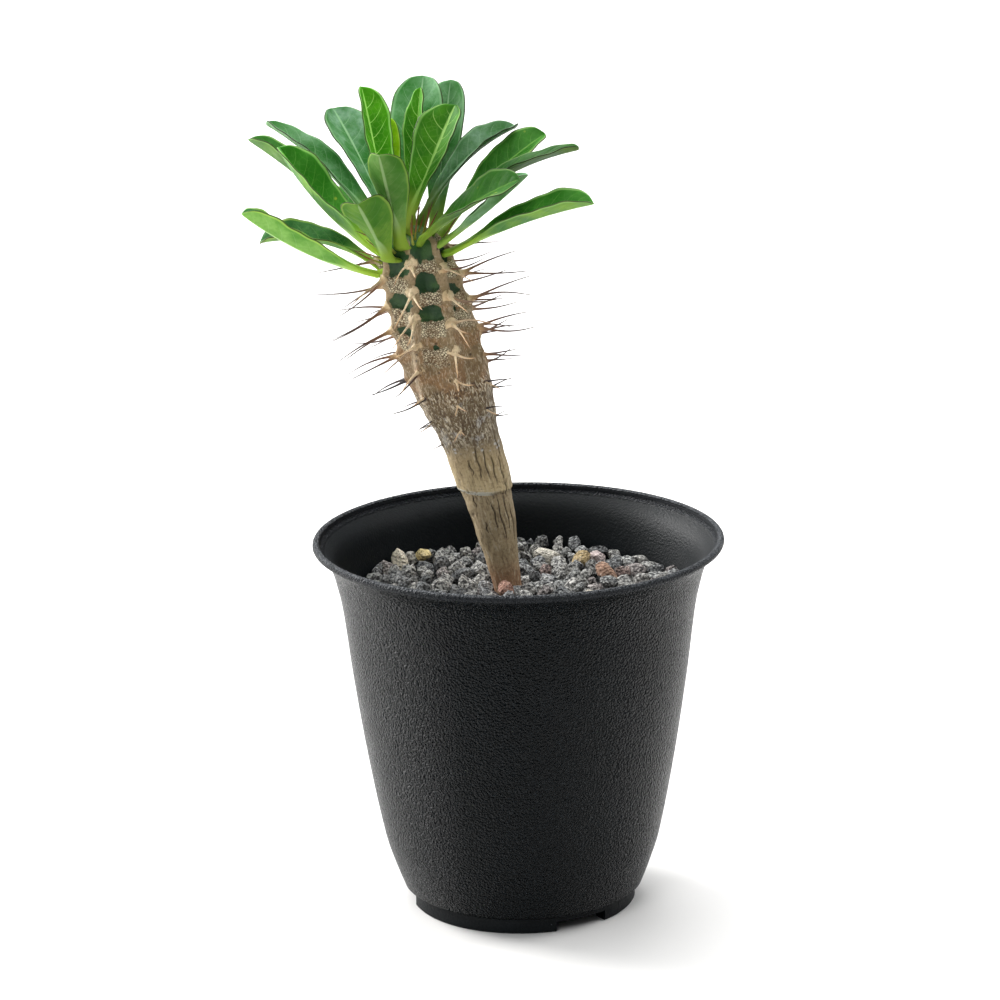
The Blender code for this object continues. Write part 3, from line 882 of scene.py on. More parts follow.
@dataclass(frozen=True)
class Pot:
    """The moulded pot: its wall, its rolled lip and its notched foot."""

    height: float = 0.0693
    wall_line: Curve = Curve((
        (0.0036, 0.0221), (0.0075, 0.0236), (0.0132, 0.0254), (0.0284, 0.0283), (0.0436, 0.0306),
        (0.0570, 0.0323), (0.0625, 0.0335), (0.0652, 0.0344), (0.0669, 0.0356), (0.0678, 0.0368),
    ))
    wall: float = 0.0012
    wall_bottom: float = 0.0036
    wall_top: float = 0.0676
    levels: int = 64
    lip_radius: float = 0.0375
    bead: float = 0.00068
    bead_turns: tuple[float, float, int] = (-48.0, 195.0, 14)
    groove: float = 0.00012
    floor_top: float = 0.0036
    floor_underside: float = 0.0024
    foot_radius: float = 0.0207
    foot_top: float = 0.0027
    foot_inner: float = 0.0176
    foot_round: float = 0.0003
    notches: tuple[float, ...] = (-59, 61, 181)
    notch_width: float = 0.0104
    notch_height: float = 0.0020
    drain: float = 0.0045
    small_drain: float = 0.0022
    small_drain_ring: float = 0.0120
    small_drains: int = 6
    drain_sides: int = 24
    segments: int = 168
    crease: float = 34.0
    lip_grain: float = 0.3
    inner_grain: float = 0.02

    def inner_radius(self, height: float) -> float:
        """The inside radius at a height."""
        return self.wall_line.at(height) - self.wall

    def outline(self) -> list[Pair]:
        """The pot's section.

        Returns:
            Pairs of radius and height, from the lip's outside down and back up inside.
        """
        heights = stepped(self.wall_bottom, self.wall_top, self.levels)
        outside = [(self.wall_line.at(height), height) for height in reversed(heights)]
        inside = [(self.inner_radius(height), height) for height in heights[2:]]
        middle = (self.lip_radius - self.bead, self.height - self.bead)
        roll = [
            (middle[0] + self.bead * math.cos(turn), middle[1] + self.bead * math.sin(turn))
            for turn in map(math.radians, stepped(*self.bead_turns))
        ]
        corner = self.foot_round
        return [
            *outside,
            (self.foot_radius, self.foot_top),
            (self.foot_radius, corner),
            (self.foot_radius - corner, 0),
            (self.foot_inner + corner, 0),
            (self.foot_inner, corner),
            (self.foot_inner, self.floor_underside),
            (self.drain, self.floor_underside),
            (self.drain, self.floor_top),
            (inside[0][0] - 2 * corner, self.floor_top),
            (inside[0][0] - corner / 2, self.floor_top + corner / 2),
            *inside,
            (roll[-1][0] + self.groove, roll[-1][1] - self.groove),
            *reversed(roll),
        ]

    def cutter(self) -> bpy.types.Object:
        """Makes the boxes and rods that cut the foot's notches and the small drain holes.

        Returns:
            They, as one object.
        """
        bm = bmesh.new()
        middle = (self.foot_radius + self.foot_inner) / 2
        depth = 2 * self.wall + self.foot_radius - self.foot_inner
        size = Matrix.Diagonal((depth, self.notch_width, 2 * self.notch_height, 1))
        for azimuth in self.notches:
            turn = Matrix.Rotation(math.radians(azimuth), 4, "Z")
            bmesh.ops.create_cube(bm, size=1, matrix=turn @ Matrix.Translation((middle, 0, 0)) @ size)
        for index in range(self.small_drains):
            turn = Matrix.Rotation(math.tau * index / self.small_drains, 4, "Z")
            bmesh.ops.create_cone(
                bm, cap_ends=True, segments=self.drain_sides, radius1=self.small_drain,
                radius2=self.small_drain, depth=2 * self.floor_top,
                matrix=turn @ Matrix.Translation((self.small_drain_ring, 0, self.floor_top)),
            )
        return link("pot_cutter", mesh_of("pot_cutter", bm))

    def body(self) -> BMesh:
        """Turns the pot and cuts its notches and holes.

        Returns:
            The pot's mesh.
        """
        bm = bmesh.new()
        verts = [bm.verts.new((radius, 0, height)) for radius, height in self.outline()]
        edges = [bm.edges.new(pair) for pair in zip(verts, verts[1:] + verts[:1])]
        bmesh.ops.spin(
            bm, geom=[*verts, *edges], axis=UP, angle=math.tau, steps=self.segments, use_merge=True
        )
        bmesh.ops.recalc_face_normals(bm, faces=bm.faces)
        blank = link("pot_blank", mesh_of("pot_blank", bm))
        cutter = self.cutter()
        cut = blank.modifiers.new("cut", "BOOLEAN")
        cut.operation = "DIFFERENCE"
        cut.object = cutter
        graph = bpy.context.evaluated_depsgraph_get()
        bm = bmesh.new()
        bm.from_mesh(blank.evaluated_get(graph).data)
        for helper in (blank, cutter):
            bpy.data.objects.remove(helper)
        return bm

    def roughened(self, place: Vector) -> float:
        """How strong the moulded grain is: full outside, weak on the lip and inside.

        Args:
            place: a point of the pot.

        Returns:
            The grain's strength there, up to 1.
        """
        outside = math.hypot(place.x, place.y) > self.wall_line.at(place.z) - self.wall / 2
        if not outside or place.z < self.foot_top:
            return self.inner_grain
        return 1.0 if place.z < self.wall_top else self.lip_grain

    def build(self) -> None:
        """Builds and dresses the pot."""
        bm = self.body()
        marks = add_marks(bm, "grain")
        for vert in bm.verts:
            vert[marks["grain"]] = self.roughened(vert.co)
        add_piece("pot_shell", bm, PotPlastic().make(), "pot", self.crease)


@dataclass(frozen=True)
class StemRow:
    """The stem's section at one height: its middle, its directions, its radius and its relief."""

    height: float
    middle: Vector
    right: Vector
    away: Vector
    up: Vector
    girth: float
    depth: float
    knob: float

    def point(self, angle: float, radius: float) -> Vector:
        """A point at an angle and a radius round the section's middle."""
        return self.middle + radius * swing(angle, self.right, self.away)


@dataclass(frozen=True)
class SkinGrain:
    """Lumps of the stem's skin, stretched along the stem, between two heights with soft ends."""

    size: float
    seed: float
    relief: float
    stretch: float = 1.0
    low: float = 0.0
    high: float = 1.0
    soft: float = 0.005

    def at(self, place: Vector, height: float) -> float:
        """How far the lumps stand out.

        Args:
            place: a point of the stem.
            height: its height on the stem.

        Returns:
            The distance, below 0 in the hollows.
        """
        squeezed = Vector((place.x, place.y, place.z * self.stretch))
        shown = self.relief * plateau(self.low, self.high, self.soft, height)
        return shown * grain(squeezed, self.size, self.seed)


@dataclass(frozen=True, eq=False)
class Stem:
    """The club-shaped stem: its line, its ribs with knobs, and the marks on its skin.

    A window is low, high, and the parts of the groove where it ends. A crack is its angle, its
    lower and upper end, and its drift.
    """

    foot: float = 0.0450
    y: float = 0.0020
    line: Curve = Curve((
        (0.0440, 0.0006), (0.0600, -0.0021), (0.0780, -0.0057), (0.0970, -0.0113), (0.1130, -0.0158),
        (0.1290, -0.0203),
    ))
    girth: Curve = Curve((
        (0.0440, 0.0024), (0.0600, 0.0026), (0.0690, 0.0036), (0.0782, 0.0047), (0.0837, 0.0050),
        (0.0886, 0.0054), (0.0929, 0.0064), (0.0978, 0.0072), (0.1018, 0.0076), (0.1080, 0.0075),
        (0.1133, 0.0072), (0.1184, 0.0069), (0.1206, 0.0065),
    ))
    dome_height: float = 0.1204
    dome_radius: float = 0.0065
    tip_radius: float = 0.0004
    rows: int = 350
    dome_rows: int = 16
    ribs: int = 7
    rib_columns: int = 28
    rib_twist: float = math.radians(1.8) / MM
    rib_front: float = math.radians(-94)
    rib_depth: Curve = Curve((
        (0.0880, 0.0), (0.0950, 0.0005), (0.1020, 0.0011), (0.1190, 0.0013), (0.1290, 0.0004),
    ))
    knob_pitch: float = 0.0047
    knob_stagger: int = 3
    knob_length: float = 0.0012
    knob_height: Curve = Curve(((0.0880, 0.0), (0.0990, 0.0003), (0.1060, 0.0008), (0.1290, 0.0009)))
    lowest_knob: float = 0.0885
    highest_knob: float = 0.1245
    front_windows: tuple[tuple[int, tuple[Patch, ...]], ...] = (
        (6, ((0.1090, 0.1106, 0.20, 0.86), (0.1136, 0.1165, 0.14, 0.90), (0.1192, 0.1250, 0.14, 0.90))),
        (0, (
            (0.1056, 0.1065, 0.42, 0.62), (0.1106, 0.1134, 0.14, 0.82), (0.1156, 0.1190, 0.12, 0.82),
            (0.1208, 0.1262, 0.10, 0.84),
        )),
        (1, (
            (0.1106, 0.1116, 0.24, 0.50), (0.1137, 0.1155, 0.28, 0.76), (0.1191, 0.1223, 0.24, 0.76),
            (0.1242, 0.1254, 0.28, 0.72),
        )),
    )
    lowest_window: float = 0.1092
    window_pitch: float = 0.0056
    window_length: float = 0.0029
    window_sides: Span = (0.2, 0.8)
    windows_behind: int = 3
    window_slant: float = 0.0014
    window_corner: float = 3.2
    window_soft: Span = (1.12, 0.88)
    small_window: float = 0.0014
    small_corner: float = 2.0
    window_depth: float = 0.0004
    ragged: tuple[Layer, ...] = ((0.0007, 3, 0.2), (0.0019, 9, 0.24))
    scar_reach: float = 0.0026
    scar_sag: float = 0.0006
    scar_soft: float = 0.0003
    scar_ragged: float = 0.002
    scar_sides: Band = (0.2, 0.8, 0.1)
    scar_height: float = 0.00012
    scar_grain: Layer = (0.0005, 4, 0.0002)
    ring: float = 0.0782
    ring_step: float = 0.00032
    ring_soft: Span = (-0.0002, 0.0001)
    ring_ragged: Layer = (0.002, 2, 0.0003)
    ring_reach: float = 0.004
    skin: tuple[SkinGrain, ...] = (
        SkinGrain(0.0034, 1, 0.00016),
        SkinGrain(0.0007, 5, 0.00007, stretch=0.2, high=0.096),
        SkinGrain(0.0008, 7, 0.00006, low=0.101),
        SkinGrain(0.0007, 8, 0.00014, stretch=0.6, low=0.0876, high=0.0975, soft=0.0015),
    )
    cap_soft: float = 0.004
    level_blend: Span = (0.082, 0.092)
    ridge_from: Span = (0.100, 0.110)
    cracks: tuple[Patch, ...] = (
        (-72, 0.0800, 0.0862, 5), (-58, 0.0796, 0.0846, 4), (-86, 0.0812, 0.0868, 4),
        (-40, 0.0792, 0.0838, 3), (-104, 0.0822, 0.0850, -4), (-66, 0.0690, 0.0772, -5),
        (-48, 0.0705, 0.0778, -4), (-82, 0.0712, 0.0765, -3), (-30, 0.0680, 0.0750, -5),
    )
    crack_width: float = 0.00011
    crack_depth: float = 0.00016
    crack_wave: float = 0.00012
    crack_waves: float = 9.0
    crack_soft: Span = (1.7, 0.4)
    random_cracks: int = 8
    random_low: Span = (0.066, 0.086)
    random_length: Span = (0.0020, 0.0060)
    random_angle: Span = (-40, 250)
    random_drift: float = 6.0
    crack_seed: int = 21

    @cache
    def row(self, height: float) -> StemRow:
        """The stem's section at a height.

        Args:
            height: the height above the pot's foot.

        Returns:
            The section, with its middle measured from the pot's axis.
        """
        below, above = (Vector((self.line.at(level), self.y, level)) for level in (height - MM, height + MM))
        up = (above - below).normalized()
        away = Vector((0, 1, 0))
        girth = self.girth.at(height)
        if height > self.dome_height:
            climb = (height - self.dome_height) / self.row(self.dome_height).up.z
            girth = math.sqrt(max(self.dome_radius**2 - climb**2, self.tip_radius**2))
        middle = Vector((self.line.at(height), self.y, height))
        depth, knob = self.rib_depth.at(height), self.knob_height.at(height)
        return StemRow(height, middle, away.cross(up), away, up, girth, depth, knob)

    def seat(self, turn: float, ring: float) -> tuple[Vector, Vector]:
        """A place on the dome at the stem's top.

        Args:
            turn: the way round.
            ring: how far it is from the dome's axis.

        Returns:
            The step out from the dome's middle and the step up to the skin.
        """
        dome = self.row(self.dome_height)
        out = ring * swing(turn, dome.right, dome.away)
        return out, dome.up * math.sqrt(max(self.dome_radius**2 - ring**2, 0))

    def rib_angle(self, rib: float, height: float) -> float:
        """The angle round the stem of a rib's ridge at a height."""
        twist = self.rib_twist * (height - self.dome_height)
        return self.rib_front + math.tau * rib / self.ribs + twist

    def staggered(self, rib: int, lowest: float, pitch: float) -> float:
        """The first height on a rib of marks with a pitch."""
        return lowest + pitch * ((rib * self.knob_stagger / self.ribs) % 1)

    @cache
    def knobs(self, rib: int) -> tuple[float, ...]:
        """The heights of the knobs on a rib.

        Args:
            rib: the rib.

        Returns:
            The heights.
        """
        start = self.staggered(rib, self.lowest_knob, self.knob_pitch)
        count = math.ceil((self.highest_knob - start) / self.knob_pitch)
        return tuple(start + self.knob_pitch * step for step in range(count))

    @cache
    def windows(self, rib: int) -> tuple[Patch, ...]:
        """The green windows of the groove after a rib.

        Args:
            rib: the rib.

        Returns:
            The windows, from below.
        """
        measured = dict(self.front_windows)
        if rib in measured:
            return measured[rib]
        start = self.staggered(rib, self.lowest_window, self.window_pitch)
        lows = [start + self.window_pitch * step for step in range(self.windows_behind)]
        return tuple((low, low + self.window_length, *self.window_sides) for low in lows)

    def marks(self, rib: int, part: float, height: float, place: Vector) -> Pair:
        """How much of a window and of a scar there is at a point.

        Args:
            rib: the rib before the point.
            part: the part of the way to the next rib.
            height: the point's height.
            place: the point itself, for the ragged edges.

        Returns:
            Window and scar, each from 0 to 1.
        """
        ragged = lumps(place, self.ragged)
        slanted = height + self.window_slant * (part - 0.5)
        sagging = slanted - self.scar_sag * (2 * part - 1) ** 2 + ragged * self.scar_ragged
        window = scar = below = 0.0
        for low, high, left, right in self.windows(rib):
            off = abs(2 * part - left - right) / (right - left)
            rise = abs(2 * slanted - low - high) / (high - low)
            corner = self.window_corner if high - low > self.small_window else self.small_corner
            reach = (off**corner + rise**corner) ** (1 / corner)
            window = max(window, smoothstep(*self.window_soft, reach + ragged))
            scar = max(scar, plateau(max(below, low - self.scar_reach), low, self.scar_soft, sagging))
            below = high
        return window, scar * plateau(*self.scar_sides, part + ragged * 0.2)

    def relief(self, rib: int, part: float, row: StemRow) -> float:
        """How far the ribs and their knobs stand out at a point, as in the CAD.

        Args:
            rib: the rib before the point.
            part: the part of the way to the next rib.
            row: the section that it is on.

        Returns:
            The distance from the plain round stem.
        """
        ridge = (1 + math.cos(math.tau * part)) / 2
        knobs = self.knobs(rib if part < 0.5 else (rib + 1) % self.ribs)
        reach = sum(math.exp(-(((row.height - knob) / self.knob_length) ** 2)) for knob in knobs)
        return row.knob * reach * ridge**3 - row.depth * (1 - ridge)

    @cache
    def crack_lines(self) -> tuple[Patch, ...]:
        """The cracks.

        Returns:
            Measured ones and seeded ones.
        """
        draw = random.Random(self.crack_seed)
        found = list(self.cracks)
        for _ in range(self.random_cracks):
            low, length = draw.uniform(*self.random_low), draw.uniform(*self.random_length)
            angle, drift = draw.uniform(*self.random_angle), draw.uniform(-1, 1) * self.random_drift
            found.append((angle, low, low + length, drift))
        return tuple(found)

    def cracked(self, angle: float, row: StemRow) -> float:
        """How deep in a crack a point is.

        Args:
            angle: its angle round the stem.
            row: the section that it is on.

        Returns:
            The depth, from 0 to 1.
        """
        deepest = 0.0
        for middle, low, high, drift in self.crack_lines():
            if low < row.height < high:
                part = (row.height - low) / (high - low)
                off = angle - math.radians(middle + drift * (part - 0.5))
                off = ((off + math.pi) % math.tau - math.pi) * row.girth
                off += self.crack_wave * math.sin(part * self.crack_waves + middle)
                width = self.crack_width * math.sin(math.pi * part) ** 0.5
                wide, narrow = self.crack_soft
                deepest = max(deepest, smoothstep(width * wide, width * narrow, abs(off)))
        return deepest

    def heights(self) -> list[float]:
        """The heights of the skin's rows.

        Returns:
            The heights, from the foot to the top of the dome.
        """
        rise = self.row(self.dome_height).up.z * math.sqrt(self.dome_radius**2 - self.tip_radius**2)
        dome = [self.dome_height + rise * math.sin(turn) for turn in stepped(0, math.pi / 2, self.dome_rows)]
        return stepped(self.foot, self.dome_height, self.rows)[:-1] + dome

    def build(self) -> None:
        """Builds and dresses the stem's skin."""
        columns = self.ribs * self.rib_columns
        rows = [self.row(height) for height in self.heights()]
        bm = grid_mesh(columns, len(rows) - 1)
        layers = add_marks(bm, "level", "window", "scar", "ridge", "crack")
        for vert in bm.verts:
            column = round(vert.co.x * columns) % columns
            row = rows[round(vert.co.y * (len(rows) - 1))]
            rib, step = divmod(column, self.rib_columns)
            vert.co, marks = self.shaped(rib, step / self.rib_columns, row)
            for name, value in marks.items():
                vert[layers[name]] = value
        close_tube(bm)
        add_piece("stem_skin", bm, Bark().make(), "stem")

    def shaped(self, rib: int, part: float, row: StemRow) -> tuple[Vector, dict[str, float]]:
        """One point of the skin.

        Args:
            rib: the rib before it.
            part: the part of the way to the next rib.
            row: the section that it is on.

        Returns:
            The point and the marks that it carries, by their names.
        """
        angle = self.rib_angle(rib + part, row.height)
        radius = row.girth + self.relief(rib, part, row) * min(1, row.girth / self.dome_radius)
        place = row.point(angle, radius)
        window, scar = self.marks(rib, part, row.height, place)
        crack = self.cracked(angle, row)
        ridge = (1 + math.cos(math.tau * part)) / 2
        cap = smoothstep(self.dome_height + self.cap_soft, self.dome_height, row.height)
        rough = sum(layer.at(place, row.height) for layer in self.skin)
        rough += scar * (self.scar_height + abs(lumps(place, (self.scar_grain,))))
        level = place.z + (row.height - place.z) * smoothstep(*self.level_blend, row.height)
        step = smoothstep(*self.ring_soft, level - self.ring + lumps(place, (self.ring_ragged,)))
        reach = self.ring_reach
        near_ring = plateau(self.ring - reach, self.ring + reach, reach, row.height)
        rough += self.ring_step * (step - 0.5) * near_ring
        rough -= crack * self.crack_depth + window * self.window_depth
        ridge = ridge**2 * smoothstep(*self.ridge_from, row.height)
        marks = {"level": level, "window": window, "scar": scar, "ridge": ridge, "crack": crack}
        return row.point(angle, radius + rough * cap), marks


def clear_of(skins: list[BVHTree], points: list[Vector], reach: float) -> bool:
    """Whether points keep a distance from every leaf."""
    return all(skin.find_nearest(point, reach)[0] is None for skin in skins for point in points)


def add_spike(
    bm: BMesh, ends: tuple[Vector, Vector], sag: Vector, counts: tuple[int, int],
    radius: Callable[[float], float], scale: float = 1.0,
) -> None:
    """Adds one bent and tapered spike to a mesh.

    Args:
        bm: the mesh, with the layers "along" and "pale".
        ends: its root and its point, measured from the pot's axis.
        sag: how far its middle stands off the straight line.
        counts: its sides and its rings.
        radius: its radius at a part of its length.
        scale: how much thicker it is than that.
    """
    start, tip = ends
    way = (tip - start).normalized()
    across = way.orthogonal().normalized()
    beside = way.cross(across)
    pale = smoothstep(0.6, 0.9, -way.y)
    along_layer, pale_layer = (bm.verts.layers.float[name] for name in ("along", "pale"))
    made = bmesh.ops.create_grid(bm, x_segments=counts[0], y_segments=counts[1], size=0.5)
    for vert in made["verts"]:
        turn = (vert.co.x + 0.5) * math.tau
        part = (vert.co.y + 0.5) ** 1.5
        middle = start.lerp(tip, part) + sag * math.sin(math.pi * part)
        vert.co = middle + radius(part) * scale * swing(turn, across, beside)
        vert[along_layer] = part
        vert[pale_layer] = pale


@dataclass(frozen=True)
class Spines:
    """The spines, in pairs or threes on the stem's knobs, by the CAD's own seeded rule."""

    stem: Stem
    length: Curve = Curve((
        (0.0880, 0.0030), (0.0950, 0.0048), (0.1020, 0.0085), (0.1090, 0.0115), (0.1290, 0.0118),
    ))
    sizes: Span = (0.75, 1.1)
    spread: float = math.radians(15)
    droop: float = math.radians(12)
    jitter: float = math.radians(8)
    third: float = 0.35
    third_size: float = 0.5
    seed: int = 11
    clearance: float = 0.0004
    checks: int = 8
    counts: tuple[int, int] = (8, 14)
    sunk: float = 0.0010
    root: float = 0.00025
    flare: float = 0.00085
    flare_part: float = 0.075
    tip: float = 0.00004
    full_length: float = 0.007
    bend: float = 0.09

    def lines(self) -> Iterator[tuple[Vector, Vector, Vector]]:
        """Every spine in turn.

        Yields:
            Its root, its tip and the way up the stem.
        """
        draw = random.Random(self.seed)
        for rib in range(self.stem.ribs):
            for height in self.stem.knobs(rib):
                row = self.stem.row(height)
                root = row.point(self.stem.rib_angle(rib, height), row.girth + row.knob)
                outward = (root - row.middle).normalized()
                side = row.up.cross(outward)
                for turn in (-1, 1, 0) if draw.random() < self.third else (-1, 1):
                    swerve = turn * self.spread + draw.uniform(-1, 1) * self.jitter
                    dip = draw.uniform(-1, 1) * self.jitter - (self.droop if turn < 1 else 0)
                    way = outward + math.tan(swerve) * side + math.tan(dip) * row.up
                    length = self.length.at(height) * draw.uniform(*self.sizes)
                    length *= 1 if turn else self.third_size
                    yield root, root + way.normalized() * length, row.up

    def radius(self, part: float) -> float:
        """A spine's radius at a part of its length."""
        taper = self.tip + (self.root - self.tip) * (1 - part) ** 0.8
        return taper + self.flare * math.exp(-part / self.flare_part)

    def build(self, skins: list[BVHTree]) -> None:
        """Builds and dresses the spines that keep clear of the leaves, as one piece.

        Args:
            skins: a search tree over each leaf.
        """
        draw = random.Random(self.seed + 1)
        bm = bmesh.new()
        add_marks(bm, "along", "pale")
        for root, tip, up in self.lines():
            length = (tip - root).length
            bend = draw.uniform(-1, 1) * self.bend * length
            points = [root.lerp(tip, part) for part in stepped(0, 1, self.checks)]
            if clear_of(skins, points, self.clearance + self.root):
                scale = min(1.0, length / self.full_length) ** 0.5
                start = root - (tip - root).normalized() * self.sunk
                add_spike(bm, (start, tip), up * bend, self.counts, self.radius, scale)
        close_tube(bm)
        add_piece("spines", bm, SpineHorn().make(), "stem")


@dataclass(frozen=True)
class Crown:
    """The thin reddish bracts that stand between the stalks on the stem's top."""

    stem: Stem
    tries: int = 900
    count: int = 30
    ring: Span = (0.0008, 0.0062)
    length: Span = (0.0040, 0.0084)
    splay: Span = (0.35, 1.0)
    inner_splay: float = 0.3
    splay_ring: float = 0.005
    root: float = 0.00015
    flare_part: float = 0.12
    tip: float = 0.00004
    sunk: float = 0.0006
    clearance: float = 0.00012
    apart: float = 0.0007
    checks: int = 10
    counts: tuple[int, int] = (6, 10)
    bend: float = 0.08
    seed: int = 5

    def radius(self, part: float) -> float:
        """A bract's radius at a part of its length."""
        return self.tip + self.root * (1 - part) ** 0.7 + self.root * math.exp(-part / self.flare_part)

    def build(self, skins: list[BVHTree]) -> None:
        """Builds and dresses the bracts as one piece, wherever the leaves leave room.

        Args:
            skins: a search tree over each leaf.
        """
        draw = random.Random(self.seed)
        dome = self.stem.row(self.stem.dome_height)
        bm = bmesh.new()
        add_marks(bm, "along", "pale")
        roots: list[Vector] = []
        for _ in range(self.tries):
            turn, ring = draw.uniform(0, math.tau), draw.uniform(*self.ring)
            out, rise = self.stem.seat(turn, ring)
            splay = draw.uniform(*self.splay) * (self.inner_splay + ring / self.splay_ring)
            way = (out.normalized() * splay + dome.up).normalized()
            root = dome.middle + (out + rise)
            tip = root + way * draw.uniform(*self.length)
            sag = dome.up * draw.uniform(-1, 1) * self.bend * (tip - root).length
            points = [root.lerp(tip, part) for part in stepped(0, 1, self.checks)[1:]]
            alone = all((root - other).length >= self.apart for other in roots)
            if alone and clear_of(skins, points, self.clearance + self.root):
                roots.append(root)
                add_spike(bm, (root - way * self.sunk, tip), sag, self.counts, self.radius)
            if len(roots) == self.count:
                break
        close_tube(bm)
        add_piece("crown_bracts", bm, Bract().make(), "stem")


@dataclass(frozen=True)
class Leaf:
    """One leaf: where it points and sits, how it rises and bends, its blade and its tone.

    The smaller its swell, the nearer to its stalk the blade is widest. Its bloom is how hazy its skin is
    beside others of its tone, and its light how light its skin is beside them: partly its own tone, partly
    painted light and shade.
    """

    azimuth: float
    seat: float
    ring: float
    rise: float
    droop: float
    length: float
    width: float
    fold: float
    roll: float
    tone: LeafTone
    swell: float = 1.7
    light: float = 1.0
    bloom: float = 0.0


@dataclass(frozen=True)
class LeafSection:
    """A leaf's section at one part of its length."""

    along: float
    middle: Vector
    beside: Vector
    above: Vector
    half: float
    fold: float


@dataclass(frozen=True)
class Foliage:
    """The tuft of leaves on the stem's domed top."""

    stem: Stem
    leaves: tuple[Leaf, ...] = (
        # A leaf's light, the number after its swell, is partly its own tone and partly painted light and
        # shade
        # Low leaves on the left
        Leaf(196, 194, 0.0065, 28, -24, 0.0279, 0.0108, 36, 5, LeafTone.OUTER, 1.5, 1.4, 0.1),
        Leaf(166, 153, 0.0065, 9, 49, 0.0237, 0.0088, 31, -17, LeafTone.OUTER),
        Leaf(171, 166, 0.0056, 40.7, 18, 0.0305, 0.0086, 33, 4, LeafTone.DEEP, 1.7, 1.0, 0.15),
        Leaf(185, 202, 0.0054, 49, -28, 0.0264, 0.0112, 40, -35, LeafTone.DEEP, 1.1, 1.45),
        Leaf(150, 143, 0.0050, 38, 32, 0.0316, 0.0084, 30, 8, LeafTone.HAZY, 1.3, 0.85, 0.15),
        # Leaves that face the front, seen from below
        Leaf(252, 260, 0.0050, 60, 0, 0.0212, 0.0088, 33, 0, LeafTone.OUTER, 1.7, 0.78, 0.15),
        Leaf(246, 234, 0.0060, 46, 0, 0.0172, 0.0106, 33, 24, LeafTone.OUTER, 1.7, 0.84),
        # Upright leaves round the middle
        Leaf(131, 118, 0.0052, 52, 15, 0.0270, 0.0110, 24, 0, LeafTone.HAZY, 2.5, 0.92, 0.9),
        Leaf(140, 178, 0.0022, 76, 0, 0.0262, 0.0088, 33, 0, LeafTone.BRIGHT, 1.7, 1.45),
        Leaf(96, 128, 0.0030, 75, 0, 0.0200, 0.0044, 30, 0, LeafTone.YELLOW),
        Leaf(76.5, 92, 0.0049, 59.4, 4, 0.0297, 0.0108, 24, 0, LeafTone.HAZY, 1.7, 1.02),
        Leaf(67, 74, 0.0029, 74, -6, 0.0245, 0.0056, 33, -30, LeafTone.BRIGHT, 1.7, 1.05),
        Leaf(28, 281, 0.0022, 63.4, 0, 0.0238, 0.0122, 24, 12, LeafTone.BRIGHT, 1.7, 0.74),
        Leaf(79, 50, 0.0062, 55.3, 4, 0.0311, 0.0085, 28, 0, LeafTone.HAZY, 1.7, 0.78),
        # Leaves on the right
        Leaf(36, 32, 0.0034, 34, 46, 0.0268, 0.0086, 33, 0, LeafTone.HAZY, 2.2, 0.57, 0.3),
        Leaf(25.5, 23, 0.0060, 37.5, 21, 0.0266, 0.0090, 30, 20, LeafTone.DEEP, 1.9),
        Leaf(6, 349, 0.0048, 27, 38, 0.0302, 0.0074, 24, -4, LeafTone.DEEP, 1.7, 0.52),
        Leaf(337, 303, 0.0050, 32, 12, 0.0224, 0.0110, 22, 34, LeafTone.DEEP, 0.95, 0.68),
        Leaf(349, 334, 0.0061, 39, -8, 0.0203, 0.0080, 30, 0, LeafTone.HAZY, 1.7, 1.0, 0.4),
        Leaf(354, 352, 0.0065, 19, 17, 0.0273, 0.0096, 39, 12, LeafTone.DEEP, 1.45, 1.25),
        # Leaves at the back
        Leaf(100, 108, 0.0064, 33, 20, 0.0270, 0.0092, 33, 0, LeafTone.DEEP),
        Leaf(128, 132, 0.0065, 22, 25, 0.0245, 0.0092, 33, 0, LeafTone.DEEP),
    )
    gap: float = 0.0006
    sunk: float = 0.0016
    sunk_part: float = 0.06
    stalk_half: float = 0.0010
    foot_swell: float = 0.0005
    foot_part: float = 0.07
    tip_half: float = 0.0004
    stalk_flare: float = 0.35
    close: float = 0.62
    rounding: float = 0.03
    fold_part: float = 0.4
    fold_soft: float = 0.07
    stalk_part: float = 0.3
    midrib_steps: int = 64
    wave: float = 0.00035
    waves: float = 2.3
    ripple: float = 0.00012
    ripples: float = 6.5
    columns: int = 28
    rows: int = 84
    crowding: float = 1.4
    stalk_thickness: float = 0.0013
    rib_thickness: float = 0.0009
    edge_thickness: float = 0.00042
    groove: float = 0.00016
    keel: float = 0.00022
    rib_half: float = 0.00045
    rib_from: Span = (0.1, 0.4)
    pillow: float = 0.00003
    pillow_from: Span = (0.15, 0.35)
    veins: float = 9.5
    vein_slant: float = 0.17
    vein_curve: float = 1.7
    vein_jitter: float = 0.35
    vein_offset: float = 0.5

    def tip_round(self, along: float) -> float:
        """How much of its width and thickness a leaf keeps in its rounded tip."""
        return arc(max(0.0, (along - 1 + self.rounding) / self.rounding))

    def half_width(self, leaf: Leaf, along: float) -> float:
        """Half a leaf's width: its stalk, its swelling blade and its rounded tip.

        Args:
            leaf: the leaf.
            along: the part of its length.

        Returns:
            Half the width there.
        """
        if along <= 0:
            return self.stalk_half * (1 - self.stalk_flare * along / self.sunk_part) + self.foot_swell
        peak = leaf.swell / (leaf.swell + self.close)
        swell = along**leaf.swell * (1 - along) ** self.close
        fullest = peak**leaf.swell * (1 - peak) ** self.close
        rim = self.stalk_half + (self.tip_half - self.stalk_half) * along
        rim += self.foot_swell * math.exp(-((along / self.foot_part) ** 2))
        return (rim + (leaf.width / 2 - rim) * swell / fullest) * self.tip_round(along)

